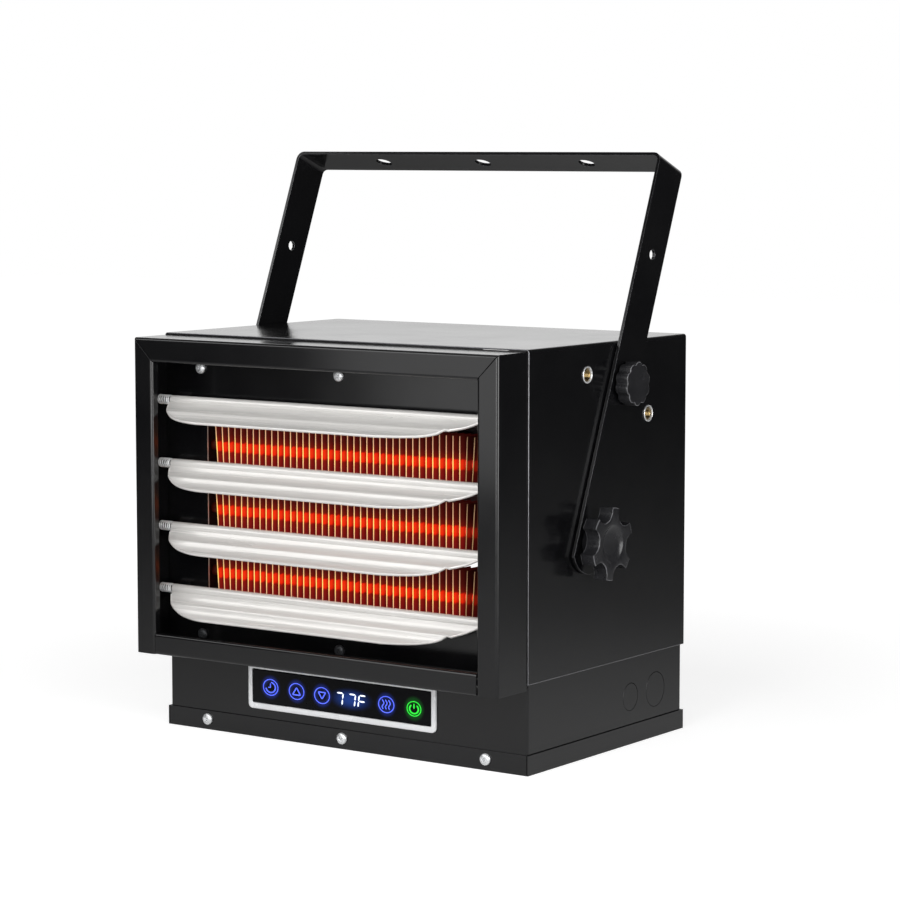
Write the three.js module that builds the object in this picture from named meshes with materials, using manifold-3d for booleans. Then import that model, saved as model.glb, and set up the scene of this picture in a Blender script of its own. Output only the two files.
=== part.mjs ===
// A ceiling-hung fan heater: a sheet-metal cabinet on a tilting bracket, with four spring-held
// louvers in front of finned heating elements, an axial fan behind a wire guard, and a
// wiring compartment with a touch display below. Millimetres, +Z up, front towards -Y.
// The origin is the centre of the base tray's underside.
import * as THREE from "three";
import { mergeVertices } from "three/addons/utils/BufferGeometryUtils.js";
import Module from "manifold-3d";

const wasm = await Module();
wasm.setup();

// ---- driving dimensions ----

// cabinet
const bodyWidth = 356;
const bodyDepth = 229;
const bodyTop = 323.4;
const seamHeight = 69.7;
const sheet = 1.2;
const gap = 0.3;
const bendRadius = 1.2;
const flange = 12;

// front frame
const frameWidth = 354.2;
const frameTop = 321.5;
const frameBottom = 65.4;
const frameDepth = 39.8;
const lipSide = 19.2;
const lipTop = 19.4;
const lipBottom = 17.2;

// baffle behind the louvers
const windowHalfWidth = 134;
const windowBottom = 117;
const windowTop = 262;
const panelScrewX = 140;
const panelScrewZ = [78.7, 296];

// heating elements
const elementRows = [129.5, 181, 232.5];
const elementTubeRadius = 4.2;
const finCount = 41;
const firstFin = -127.8;
const finPitch = 6.31;
const finThickness = 0.8;
const finDepth = 24;
const finHeight = 44;
const finSetback = 4;

// louvers, from the top one down
const louverPivotSetback = 13;
const louverHeights = [270.1, 218.6, 167.1, 116.1];
const louverTilts = [37.5, 45.5, 46.5, 56];
const beadRadius = 3.75;
const louverChord = 27;
const louverSheet = 1;
const louverLeft = -159.7;
const louverRight = 170;
const pinRadius = 2;

// louver springs
const springCurls = 6;
const springRadius = 3.4;
const springWire = 0.5;
const springStart = -173.2;

// tilting bracket
const pivotY = -34;
const pivotZ = 170.2;
const bracketLean = 22;
const bracketReach = 315.3;
const bracketWidth = 36.5;
const bracketThickness = 2.5;
const bracketOuterX = 182;
const bracketBend = 4;
const legEndRadius = 25;
const legHoleAt = 236;
const strapHoleSpacing = 102;
const strapHoleRadius = 7;
const lockRadius = 129.3;

// fan, motor and guard
const fanHeight = 197;
const openingRadius = 108;
const fanRadius = 101;
const fanMiddle = 84;
const bladeCount = 5;
const motorRadius = 42;
const motorFront = 20;
const motorBack = 64;
const guardRings = [25, 42.6, 60.2, 77.8, 95.4, 113];
const guardWire = 1.2;

// wiring compartment, tray and display
const trayLip = 15.6;
const boxInset = 1.4;
const bezelWidth = 187;
const bezelBottom = 22.7;
const bezelTop = 60.5;
const glassHalfWidth = 88;
const glassBottom = 28.4;
const glassTop = 54.9;
const knockouts = [
  { name: "knockout_small", y: 34.5, z: 38, radius: 11.1 },
  { name: "knockout_large", y: 72.5, z: 38.5, radius: 14.1 },
];
const traySize = { screwX: [-135.8, 1.8, 139.2], screwZ: 8.6 };

// pan-head screws
const screwHeadRadius = 4.15;
const screwHeadHeight = 2.4;
const screwShankRadius = 1.9;

// worked out from the above
const halfWidth = bodyWidth / 2;
const front = -bodyDepth / 2;
const back = bodyDepth / 2;
const frameFront = front - frameDepth;
const frameHalf = frameWidth / 2;
const innerHalf = halfWidth - sheet;
const boxHalf = halfWidth - boxInset;
const boxFront = front + boxInset;
const boxBack = back - boxInset;
const baffleBack = front + sheet;

// ---- materials ----

const finish = (color, roughness, metalness) =>
  new THREE.MeshStandardMaterial({ color, roughness, metalness });

const blackPaint = finish(0x1b1b1d, 0.5, 0);
const louverSilver = finish(0xe6e3de, 0.35, 0.6);
const zinc = finish(0xb9babd, 0.3, 1);
const yellowZinc = finish(0xb39a6a, 0.35, 1);
const blackPlastic = finish(0x222224, 0.55, 0);
const silverPlastic = finish(0xd9dadd, 0.35, 0.3);
const blackGlass = finish(0x08090c, 0.08, 0);
const galvanised = finish(0x9b9da0, 0.45, 0.9);
const finSteel = finish(0x8a4a34, 0.5, 0.8);
const fanAluminium = finish(0xb6b8ba, 0.4, 0.9);
const motorPaint = finish(0x2b2c2e, 0.5, 0.3);
const boardGreen = finish(0x1d5b3a, 0.5, 0);
const phenolic = finish(0x2a2320, 0.6, 0);

// ---- outlines, as lists of points ----

const point = (x, y) => new THREE.Vector2(x, y);
const radians = THREE.MathUtils.degToRad;

function arc(x, y, radius, from, to, steps) {
  const points = [];
  for (let i = 0; i <= steps; i++) {
    const angle = radians(from + ((to - from) * i) / steps);
    points.push(point(x + radius * Math.cos(angle), y + radius * Math.sin(angle)));
  }
  return points;
}

const circle = (x, y, radius, steps = 16) => arc(x, y, radius, 0, 360, steps).slice(0, -1);

const rectangle = (x0, y0, x1, y1) => [point(x0, y0), point(x1, y0), point(x1, y1), point(x0, y1)];

function roundedRectangle(x0, y0, x1, y1, radius, steps = 3) {
  return [
    ...arc(x1 - radius, y0 + radius, radius, -90, 0, steps),
    ...arc(x1 - radius, y1 - radius, radius, 0, 90, steps),
    ...arc(x0 + radius, y1 - radius, radius, 90, 180, steps),
    ...arc(x0 + radius, y0 + radius, radius, 180, 270, steps),
  ];
}

// A run of straights whose corners are rounded by arcs tangent to both.
function roundedRun(corners, radii, steps) {
  const points = [corners[0]];
  for (let i = 1; i < corners.length - 1; i++) {
    const before = corners[i].clone().sub(corners[i - 1]).normalize();
    const after = corners[i + 1].clone().sub(corners[i]).normalize();
    const turn = Math.atan2(before.cross(after), before.dot(after));
    const radius = radii[i];
    const start = corners[i].clone().addScaledVector(before, -radius * Math.tan(Math.abs(turn) / 2));
    const side = point(-before.y, before.x).multiplyScalar(Math.sign(turn) * radius);
    const centre = start.clone().add(side);
    for (let k = 0; k <= steps; k++)
      points.push(start.clone().rotateAround(centre, (turn * k) / steps));
  }
  return [...points, corners[corners.length - 1]];
}

// Bent sheet seen on edge: it follows the corners and lies to the left of the way they run.
function bentStrip(corners, thickness, insideRadius, steps = 3) {
  const shifted = corners.map((corner, i) => {
    const before = (i ? corner.clone().sub(corners[i - 1]) : corners[1].clone().sub(corner)).normalize();
    const last = i === corners.length - 1;
    const after = last ? before : corners[i + 1].clone().sub(corner).normalize();
    const middle = point(-before.y - after.y, before.x + after.x).normalize();
    const stretch = thickness / middle.dot(point(-before.y, before.x));
    return corner.clone().addScaledVector(middle, stretch);
  });
  const turns = corners.map((corner, i) =>
    i && i < corners.length - 1
      ? Math.sign(corner.clone().sub(corners[i - 1]).cross(corners[i + 1].clone().sub(corner)))
      : 0,
  );
  const right = turns.map((turn) => insideRadius + (turn > 0 ? thickness : 0));
  const left = turns.map((turn) => insideRadius + (turn < 0 ? thickness : 0));
  return [...roundedRun(corners, right, steps), ...roundedRun(shifted, left, steps).reverse()];
}

// ---- solids ----

function prism(outline, depth, holes = []) {
  const shape = new THREE.Shape(outline);
  shape.holes = holes.map((hole) => new THREE.Path(hole));
  return new THREE.ExtrudeGeometry(shape, { depth, bevelEnabled: false });
}

const axisX = new THREE.Vector3(1, 0, 0);
const axisY = new THREE.Vector3(0, 1, 0);
const axisZ = new THREE.Vector3(0, 0, 1);

// An outline in Y and Z carried along X, from x0 to x1.
const alongX = (outline, x0, x1, holes) =>
  prism(outline, Math.abs(x1 - x0), holes)
    .applyMatrix4(new THREE.Matrix4().makeBasis(axisY, axisZ, axisX))
    .translate(Math.min(x0, x1), 0, 0);

// An outline in X and Z carried along Y, from y0 to y1.
const alongY = (outline, y0, y1, holes) =>
  prism(outline, y1 - y0, holes)
    .applyMatrix4(new THREE.Matrix4().makeBasis(axisX, axisZ, axisY.clone().negate()))
    .translate(0, y1, 0);

// An outline in X and Y carried along Z, from z0 to z1.
const alongZ = (outline, z0, z1, holes) => prism(outline, z1 - z0, holes).translate(0, 0, z0);

// A box between two corners; the ends of each range may come in either order.
const block = (x0, x1, y0, y1, z0, z1) =>
  new THREE.BoxGeometry(Math.abs(x1 - x0), Math.abs(y1 - y0), Math.abs(z1 - z0)).translate(
    (x0 + x1) / 2,
    (y0 + y1) / 2,
    (z0 + z1) / 2,
  );

// A profile of [radius, height] turned about Z.
const turned = (profile, steps = 24) =>
  new THREE.LatheGeometry(
    profile.map(([radius, height]) => point(radius, height)),
    steps,
  ).rotateX(Math.PI / 2);

const turnedAboutX = (profile, steps) => turned(profile, steps).rotateY(Math.PI / 2);
const turnedAboutY = (profile, steps) => turned(profile, steps).rotateX(-Math.PI / 2);

const rod = (radius, from, to, steps = 12) =>
  new THREE.CylinderGeometry(radius, radius, Math.abs(to - from), steps)
    .rotateX(Math.PI / 2)
    .translate(0, 0, (from + to) / 2);
const rodX = (radius, x0, x1, y, z, steps) => rod(radius, x0, x1, steps).rotateY(Math.PI / 2).translate(0, y, z);
const rodY = (radius, y0, y1, x, z, steps) => rod(radius, y0, y1, steps).rotateX(-Math.PI / 2).translate(x, 0, z);
const rodZ = (radius, z0, z1, x, y, steps) => rod(radius, z0, z1, steps).translate(x, y, 0);

function asSolid(geometry) {
  const bare = geometry.clone();
  bare.deleteAttribute("normal");
  bare.deleteAttribute("uv");
  const merged = mergeVertices(bare, 1e-4);
  const vertProperties = new Float32Array(merged.attributes.position.array);
  const triVerts = new Uint32Array(merged.index.array);
  return new wasm.Manifold(new wasm.Mesh({ numProp: 3, vertProperties, triVerts }));
}

function asGeometry(solid) {
  const { vertProperties, triVerts } = solid.getMesh();
  const geometry = new THREE.BufferGeometry();
  geometry.setAttribute("position", new THREE.BufferAttribute(vertProperties, 3));
  geometry.setIndex(new THREE.BufferAttribute(triVerts, 1));
  geometry.computeVertexNormals();
  return geometry;
}

const joined = (...geometries) => asGeometry(geometries.map(asSolid).reduce((a, b) => a.add(b)));

const cut = (geometry, ...tools) => asGeometry(tools.map(asSolid).reduce((a, b) => a.subtract(b), asSolid(geometry)));

const common = (a, b) => asGeometry(asSolid(a).intersect(asSolid(b)));

// ---- the scene ----

const heater = new THREE.Group();
heater.name = "fan_heater";

function piece(name, geometry, material, parent = heater) {
  const mesh = new THREE.Mesh(geometry, material);
  mesh.name = name;
  parent.add(mesh);
  return mesh;
}

function groupAt(x, y, z, turn = 0, parent = heater) {
  const group = new THREE.Group();
  group.position.set(x, y, z);
  group.rotation.x = radians(turn);
  parent.add(group);
  return group;
}

// Where the bracket can be locked, in Y and Z, as angles back from upright.
const lockAngles = [0, bracketLean, 2 * bracketLean];
const lockPoint = (angle) => [
  pivotY + lockRadius * Math.sin(radians(angle)),
  pivotZ + lockRadius * Math.cos(radians(angle)),
];

// ---- cabinet ----

const insertFlangeRadius = 6.9;
const insertSleeveRadius = 5.4;
const insertBore = 4.2;

function cabinetWrap() {
  const profile = bentStrip(
    [
      point(halfWidth, seamHeight),
      point(halfWidth, bodyTop),
      point(-halfWidth, bodyTop),
      point(-halfWidth, seamHeight),
    ],
    sheet,
    bendRadius,
  );
  const holes = [[pivotY, pivotZ], ...lockAngles.map(lockPoint)].map(([y, z]) =>
    rodX(insertSleeveRadius + 2 * gap, -halfWidth - 1, halfWidth + 1, y, z, 10),
  );
  return cut(alongY(profile, front, back), ...holes);
}

// Threaded inserts that take the knobs' studs: a flange outside and a sleeve inside the sheet.
function threadedInsert(side) {
  const face = halfWidth + 0.2;
  const profile = [
    [insertBore, face - 13],
    [insertSleeveRadius, face - 13],
    [insertSleeveRadius, face],
    [insertFlangeRadius, face],
    [insertFlangeRadius, face + 0.9],
    [insertBore, face + 0.9],
    [insertBore, face - 13],
  ];
  const insert = turnedAboutX(profile, 10);
  return side > 0 ? insert : insert.rotateZ(Math.PI);
}

// The outline of a panel that fits inside the wrap, its corners eased past the wrap's bends.
const panelHalf = innerHalf - gap;
const panelBottom = seamHeight + gap;
const panelTop = bodyTop - sheet - gap;
const panelOutline = () => roundedRectangle(-panelHalf, panelBottom, panelHalf, panelTop, bendRadius + gap, 1);

// The turned-in edge of such a panel, on one side.
function panelEdge(side, y0, y1) {
  return block(side * panelHalf, side * (panelHalf - sheet), y0, y1, panelBottom + 2, panelTop - 2);
}

function rearPanel() {
  const opening = circle(0, fanHeight, openingRadius, 32);
  const plate = alongY(panelOutline(), back - sheet, back, [opening]);
  const rim = openingRadius + sheet;
  const collar = turnedAboutY(
    [
      [openingRadius, back - flange],
      [rim, back - flange],
      [rim, back - sheet / 2],
      [openingRadius, back - sheet / 2],
      [openingRadius, back - flange],
    ],
    32,
  ).translate(0, 0, fanHeight);
  const edges = [-1, 1].map((side) => panelEdge(side, back - flange, back - sheet / 2));
  return joined(plate, collar, ...edges);
}

function frontBaffle() {
  const holes = panelScrewZ.flatMap((z) =>
    [-panelScrewX, 0, panelScrewX].map((x) => circle(x, z, screwShankRadius + gap, 10)),
  );
  const opening = rectangle(-windowHalfWidth, windowBottom, windowHalfWidth, windowTop);
  const plate = alongY(panelOutline(), front, baffleBack, [opening, ...holes]);
  const edges = [-1, 1].map((side) => panelEdge(side, front + sheet / 2, front + flange));
  return joined(plate, ...edges);
}

// ---- front frame: four bent members, mitred at the top ----

const lipProfile = (lip) =>
  bentStrip([point(0, front - gap), point(0, frameFront), point(lip, frameFront)], sheet, bendRadius);

// Removes what lies past the mitre through a top corner, on the side or the top member.
function mitreTool(side, keepTop) {
  const length = 120;
  const tool = new THREE.BoxGeometry(length, length, length);
  tool.translate(0, 0, (keepTop ? -1 : 1) * (length / 2 - gap / 2));
  tool.rotateY(radians(-45 * side));
  return tool.translate(side * frameHalf, frameFront + 20, frameTop);
}

// Bush in the frame's side wall that a louver's pin turns in.
function pinBush(side, z) {
  const wall = frameHalf - sheet;
  const inner = pinRadius + gap;
  const profile = [
    [inner, wall - 2.4],
    [beadRadius, wall - 2.4],
    [beadRadius, wall + sheet / 2],
    [inner, wall + sheet / 2],
    [inner, wall - 2.4],
  ];
  const bush = turnedAboutX(profile, 8);
  if (side < 0) bush.rotateZ(Math.PI);
  return bush.translate(0, front - louverPivotSetback, z);
}

function sideMember(side) {
  // the outline runs in X and Y, mirrored for the left member
  const outline = lipProfile(lipSide).map((p) => point(side * (frameHalf - p.x), p.y));
  const member = cut(alongZ(outline, frameBottom, frameTop + 1), mitreTool(side, false));
  return joined(member, ...louverHeights.map((z) => pinBush(side, z)));
}

function topMember() {
  const outline = lipProfile(lipTop).map((p) => point(p.y, frameTop - p.x));
  return cut(alongX(outline, -frameHalf - 1, frameHalf + 1), mitreTool(-1, true), mitreTool(1, true));
}

function bottomMember() {
  const outline = lipProfile(lipBottom).map((p) => point(p.y, frameBottom + p.x));
  const lipEnd = frameHalf - lipSide - gap;
  const wallEnd = frameHalf - sheet - gap;
  const shelf = block(-wallEnd, wallEnd, frameFront + 2 * sheet, front - gap, frameBottom, frameBottom + sheet);
  return joined(alongX(outline, -lipEnd, lipEnd), shelf);
}

// ---- louvers ----

// The blade seen on end, reaching towards -Y from a round bead at the pivot: two shallow
// hollows with a ridge between them, and a folded edge.
function louverSection() {
  const strips = 2;
  const stepsPerStrip = 5;
  const start = beadRadius - 0.6;
  const edge = louverChord - 1.6;
  const dip = 1.3;
  const upper = [];
  const lower = [];
  for (let i = 0; i <= strips * stepsPerStrip; i++) {
    const share = i / (strips * stepsPerStrip);
    const reach = start + share * (edge - start);
    const rise = 0.6 - dip * Math.abs(Math.sin(share * strips * Math.PI));
    upper.push(point(-reach, rise + louverSheet / 2));
    lower.push(point(-reach, rise - louverSheet / 2));
  }
  const fold = arc(-edge, 0.2, 1.5, 90, 270, 5);
  return [...upper, ...fold, ...lower.reverse()];
}

// The blade seen from above: a short round corner on the left, a long taper on the right
// with a small notch in it.
function louverOutline() {
  const tip = 118;
  const shape = new THREE.Shape();
  shape.moveTo(louverLeft, beadRadius + 2);
  shape.lineTo(louverLeft, -7);
  shape.bezierCurveTo(louverLeft + 2, -19, louverLeft + 20, -louverChord, -116, -louverChord - 0.1);
  shape.lineTo(60, -louverChord - 0.1);
  shape.quadraticCurveTo(96, -louverChord + 1, tip - 4, -18.2);
  shape.lineTo(tip, -15.2);
  shape.lineTo(tip + 4, -15.6);
  shape.quadraticCurveTo(138, -8.5, 150, -2);
  shape.lineTo(louverRight, -2);
  shape.lineTo(louverRight, beadRadius + 2);
  return shape.getPoints(5);
}

function louver(height) {
  const blade = alongX(louverSection(), louverLeft, 152);
  const trimmed = common(blade, alongZ(louverOutline(), -8, 8));
  const bead = rodX(beadRadius, louverLeft, louverRight, 0, 0, 12);
  const pinEnd = frameHalf - sheet - gap;
  const leftPin = rodX(pinRadius, -pinEnd, louverLeft + 4, 0, 0, 8);
  const rightPin = rodX(pinRadius, louverRight - 4, pinEnd, 0, 0, 8);
  const group = groupAt(0, front - louverPivotSetback, louverHeights[height], louverTilts[height]);
  piece(`louver_${height + 1}`, joined(trimmed, bead, leftPin, rightPin), louverSilver, group);
}

// One unbroken round wire wound about X: rings of five points, eight to a curl.
function springTube(length) {
  const ringsPerCurl = 8;
  const sides = 5;
  const rings = springCurls * ringsPerCurl;
  const pitch = (length - 2 * springWire) / springCurls;
  const centres = [];
  const points = [];
  for (let i = 0; i <= rings; i++) {
    const angle = (2 * Math.PI * i) / ringsPerCurl;
    const outward = new THREE.Vector3(0, Math.cos(angle), Math.sin(angle));
    const onward = new THREE.Vector3(pitch / (2 * Math.PI), 0, 0);
    onward.addScaledVector(new THREE.Vector3(0, -Math.sin(angle), Math.cos(angle)), springRadius).normalize();
    const across = new THREE.Vector3().crossVectors(onward, outward);
    const centre = outward.clone().multiplyScalar(springRadius);
    centre.x = springWire + (pitch * i) / ringsPerCurl;
    centres.push(centre);
    for (let k = 0; k < sides; k++) {
      const turn = (2 * Math.PI * k) / sides;
      const at = centre.clone().addScaledVector(outward, springWire * Math.cos(turn));
      at.addScaledVector(across, springWire * Math.sin(turn));
      points.push(at.x, at.y, at.z);
    }
  }
  const faces = [];
  for (let i = 0; i < rings; i++)
    for (let k = 0; k < sides; k++) {
      const a = i * sides + k;
      const b = i * sides + ((k + 1) % sides);
      faces.push(a, b, b + sides, a, b + sides, a + sides);
    }
  for (let k = 1; k < sides - 1; k++) {
    faces.push(0, k + 1, k);
    faces.push(rings * sides, rings * sides + k, rings * sides + k + 1);
  }
  const geometry = new THREE.BufferGeometry();
  geometry.setAttribute("position", new THREE.Float32BufferAttribute(points, 3));
  geometry.setIndex(faces);
  geometry.computeVertexNormals();
  return { geometry, centres, ringsPerCurl };
}

// The least gap between curls: centre distances half a curl apart or more, less one wire.
function leastSpringGap({ centres, ringsPerCurl }) {
  let least = Infinity;
  for (let i = 0; i < centres.length; i++)
    for (let k = i + ringsPerCurl / 2; k < centres.length; k++)
      least = Math.min(least, centres[i].distanceTo(centres[k]) - 2 * springWire);
  return least;
}

function louverSprings() {
  const spring = springTube(louverLeft - gap - springStart);
  console.log("least gap between spring curls, mm: " + leastSpringGap(spring).toFixed(2));
  louverHeights.forEach((z, i) => {
    const group = groupAt(springStart, front - louverPivotSetback, z);
    piece(`louver_spring_${i + 1}`, spring.geometry, zinc, group);
  });
}

// ---- heating elements ----

const finFront = baffleBack + finSetback - sheet;
const elementY = finFront + finDepth / 2;
const elementEnd = 158;

// A sheathed tube through a row of upright fins, with a terminal pin at each end.
function heatingElement() {
  const half = finHeight / 2;
  const fins = Array.from({ length: finCount }, (unused, i) => {
    const x = firstFin + i * finPitch;
    return block(x - finThickness / 2, x + finThickness / 2, -finDepth / 2, finDepth / 2, -half, half);
  });
  const tube = rodX(elementTubeRadius, -elementEnd, elementEnd, 0, 0, 6);
  const terminals = [-1, 1].map((side) => rodX(1.6, side * (elementEnd - 2), side * (elementEnd + 8), 0, 0, 6));
  return joined(tube, ...terminals, ...fins);
}

// A plate that the elements' ends pass through, with a flange against the baffle.
function elementPlate(side) {
  const inner = 140;
  const bottom = elementRows[0] - finHeight / 2 - 4;
  const top = elementRows[elementRows.length - 1] + finHeight / 2 + 4;
  const holes = elementRows.map((z) => circle(elementY, z, elementTubeRadius + gap, 12));
  const plateFront = baffleBack + gap;
  const outline = rectangle(plateFront, bottom, elementY + 16, top);
  const plate = alongX(outline, side * inner, side * (inner + sheet), holes);
  const footRange = [side * (inner + sheet / 2), side * (inner + flange)];
  return joined(plate, block(...footRange, plateFront, plateFront + sheet, bottom, top));
}

// ---- fan, motor and guard ----

// A cambered, twisted blade: a thin arc section carried outwards and turned as it goes.
function fanBladeShape() {
  const root = 18;
  const steps = 3;
  const arcPoints = 4;
  const chord = 58;
  const camber = 6;
  const thickness = 1.6;
  const upper = [];
  const lower = [];
  for (let i = 0; i <= arcPoints; i++) {
    const across = i / arcPoints - 0.5;
    const rise = camber * (1 - 4 * across * across);
    upper.push(point(across * chord, rise + thickness / 2));
    lower.push(point(across * chord, rise - thickness / 2));
  }
  const shape = new THREE.Shape([...lower, ...upper.reverse()]);
  const blade = new THREE.ExtrudeGeometry(shape, { depth: fanRadius - root, steps, bevelEnabled: false });
  const position = blade.attributes.position;
  for (let i = 0; i < position.count; i++) {
    const share = position.getZ(i) / (fanRadius - root);
    const width = 0.5 + 0.62 * Math.sin(Math.min(share * 1.25, 1) * Math.PI * 0.5) - 0.12 * share ** 4;
    const pitch = radians(36 - 12 * share);
    const x = position.getX(i) * width + 9 * share * share;
    const y = position.getY(i) * width;
    const across = x * Math.cos(pitch) - y * Math.sin(pitch);
    // each section lies on a circle about the shaft, so the tips run true in the ring
    const radius = root + share * (fanRadius - root);
    position.setXYZ(i, across, x * Math.sin(pitch) + y * Math.cos(pitch), Math.sqrt(radius ** 2 - across ** 2));
  }
  return blade;
}

function fan() {
  const hub = turnedAboutY(
    [
      [4.3, -12],
      [20, -12],
      [22, -10],
      [22, 10],
      [18, 12],
      [4.3, 12],
      [4.3, -12],
    ],
    16,
  );
  const blades = Array.from({ length: bladeCount }, (unused, i) =>
    fanBladeShape().rotateY((2 * Math.PI * i) / bladeCount),
  );
  return cut(joined(hub, ...blades), rodY(4.3, -13, 13, 0, 0, 16));
}

function fanMotor() {
  const shaftRoom = 4.4;
  const profile = [
    [0, motorFront],
    [16, motorFront],
    [18, motorFront + 5],
    [motorRadius - 6, motorFront + 6],
    [motorRadius, motorFront + 12],
    [motorRadius, motorBack - 10],
    [motorRadius - 6, motorBack - 4],
    [18, motorBack - 3],
    [16, motorBack],
    [shaftRoom, motorBack],
    [shaftRoom, motorBack - 12],
    [0, motorBack - 12],
  ];
  return turnedAboutY(profile, 16);
}

function motorShaft() {
  const profile = [
    [0, motorBack - 10],
    [4, motorBack - 10],
    [4, fanMiddle + 12.3],
    [7, fanMiddle + 12.3],
    [7, fanMiddle + 16],
    [3.5, fanMiddle + 17],
    [0, fanMiddle + 17],
  ];
  return turnedAboutY(profile, 12);
}

// Two crossed hat-shaped straps that carry the motor from the rear panel.
function motorBracket() {
  const legX = 118;
  const footX = 134;
  const thickness = 2;
  const width = 22;
  const plane = motorBack + gap;
  const foot = back - sheet - gap - thickness;
  const corners = [
    point(-footX, foot),
    point(-legX, foot),
    point(-legX, plane),
    point(legX, plane),
    point(legX, foot),
    point(footX, foot),
  ];
  const strap = () => alongZ(bentStrip(corners, thickness, 2, 2), -width / 2, width / 2);
  const disc = rodY(30, plane, plane + thickness, 0, 0, 20);
  const straps = joined(disc, strap().rotateY(Math.PI / 4), strap().rotateY(-Math.PI / 4));
  return cut(straps, rodY(9, plane - 5, plane + 5, 0, 0, 16));
}

function rearGuard() {
  const ringPlane = back + 3.8;
  const spokePlane = back + 1.9;
  const wire = circle(0, 0, guardWire, 4).map((p) => [p.x, p.y]);
  const rings = guardRings.map((radius) => {
    const profile = [...wire, wire[0]].map(([x, y]) => [radius + x, ringPlane + y]);
    return turnedAboutY(profile, 18);
  });
  const reach = guardRings[guardRings.length - 1] + 7;
  const spokes = [45, 135].map((angle) =>
    joined(
      block(-reach, reach, -guardWire, guardWire, -guardWire, guardWire),
      rodY(5.5, -1.5, 1, -reach - 3, 0, 8),
      rodY(5.5, -1.5, 1, reach + 3, 0, 8),
    )
      .rotateY(radians(angle))
      .translate(0, spokePlane, 0),
  );
  return joined(...spokes, ...rings);
}

// ---- wiring compartment ----

function controlBox() {
  const outline = roundedRectangle(-boxHalf, boxFront, boxHalf, boxBack, bendRadius + sheet, 2);
  const inside = rectangle(-boxHalf + sheet, boxFront + sheet, boxHalf - sheet, boxBack - sheet);
  const walls = alongZ(outline, sheet + gap, seamHeight - gap, [inside]);
  const displayHole = block(-90, 90, boxFront - 1, boxFront + 3, 26.6, 56.7);
  const conduitHoles = knockouts.map(({ y, z, radius }) => rodX(radius + gap, boxHalf - 4, boxHalf + 4, y, z, 18));
  const screwHoles = traySize.screwX.map((x) =>
    rodY(screwShankRadius + gap, boxFront - 1, boxFront + 3, x, traySize.screwZ, 12),
  );
  return cut(walls, displayHole, ...conduitHoles, ...screwHoles);
}

// The heating chamber's floor, a shallow pan turned upside down, with two cable holes.
function dividerFloor() {
  const side = boxHalf - sheet - gap;
  const frontEdge = boxFront + sheet + gap;
  const backEdge = boxBack - sheet - gap;
  const top = seamHeight - gap;
  return cut(
    block(-side, side, frontEdge, backEdge, top - flange, top),
    block(-side + sheet, side - sheet, frontEdge + sheet, backEdge - sheet, top - flange - 1, top - sheet),
    rodZ(10, top - 4, top + 1, 152, 40, 16),
    rodZ(10, top - 4, top + 1, -152, 40, 16),
  );
}

function baseTray() {
  const outer = block(-halfWidth, halfWidth, front, back, 0, trayLip);
  const inner = block(-innerHalf, innerHalf, front + sheet, back - sheet, sheet, trayLip + 1);
  const slit = 0.5;
  const slits = [-1, 1].flatMap((side) =>
    [front, back - sheet].map((y) => {
      const x = side * (halfWidth - sheet);
      return block(x - slit / 2, x + slit / 2, y - 1, y + sheet + 1, sheet, trayLip + 1);
    }),
  );
  const holes = traySize.screwX.map((x) =>
    rodY(screwShankRadius + gap, front - 1, front + 3, x, traySize.screwZ, 12),
  );
  return cut(outer, inner, ...slits, ...holes);
}

const knockoutDisc = ({ y, z, radius }) => rodX(radius, boxHalf - sheet, boxHalf, y, z, 18);

// ---- display ----

const bezelFront = front - 1.1;
const bezelBack = boxFront - gap;

function displayBezel() {
  const opening = rectangle(-glassHalfWidth, glassBottom, glassHalfWidth, glassTop);
  const rim = alongY(
    roundedRectangle(-bezelWidth / 2, bezelBottom, bezelWidth / 2, bezelTop, 4),
    bezelFront,
    bezelBack,
    [opening],
  );
  const collarOutline = rectangle(-glassHalfWidth - 1.4, glassBottom - 1.4, glassHalfWidth + 1.4, glassTop + 1.4);
  const collar = alongY(collarOutline, bezelBack - 0.4, boxFront + 4, [opening]);
  return joined(rim, collar);
}

const displayGlass = () =>
  block(
    -glassHalfWidth + gap,
    glassHalfWidth - gap,
    bezelFront + 0.5,
    bezelFront + 2.5,
    glassBottom + gap,
    glassTop - gap,
  );

// A board behind the glass, on four posts, with the digit block and six touch pads on it.
function controlBoard() {
  const face = boxFront + 7;
  const halfLength = 94;
  const low = 22.5;
  const high = 55.5;
  const board = block(-halfLength, halfLength, face, face + 1.6, low, high);
  const posts = [-1, 1].flatMap((side) =>
    [low + 3.2, high - 3.2].map((z) =>
      rodY(2.2, boxFront + sheet + gap, face + 0.4, side * (halfLength - 1.8), z, 6),
    ),
  );
  const glassBack = bezelFront + 2.5 + gap;
  const digits = block(-3, 29, glassBack, face + 0.4, 31, 51);
  const padX = [-69.2, -43, -17.7, 45.9, 72.7];
  const pads = padX.map((x) => rodY(6, glassBack, face + 0.4, x, 41.5, 6));
  const chip = block(-60, -30, face + 1.2, face + 6, 33, 46);
  const socket = block(30, 56, face + 1.2, face + 9, 34, 44);
  return joined(board, ...posts, digits, ...pads, chip, socket);
}

// ---- what is wired inside the compartment ----

function powerRelay() {
  const wall = boxBack - sheet - gap;
  const body = block(-122, -70, wall - 36, wall, 12, 54);
  const blades = [-114, -102, -90, -78].map((x) => block(x - 3, x + 3, wall - 44, wall - 35, 30, 31));
  return joined(body, ...blades);
}

function terminalBlock() {
  const wall = boxBack - sheet - gap;
  const body = block(60, 128, wall - 24, wall, 18, 48);
  const slots = [77, 94, 111].map((x) => block(x - 1, x + 1, wall - 25, wall - 12, 17, 49));
  const wells = [68.5, 85.5, 102.5, 119.5].map((x) => rodY(3.4, wall - 25, wall - 16, x, 33, 6));
  return cut(body, ...slots, ...wells);
}

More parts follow.
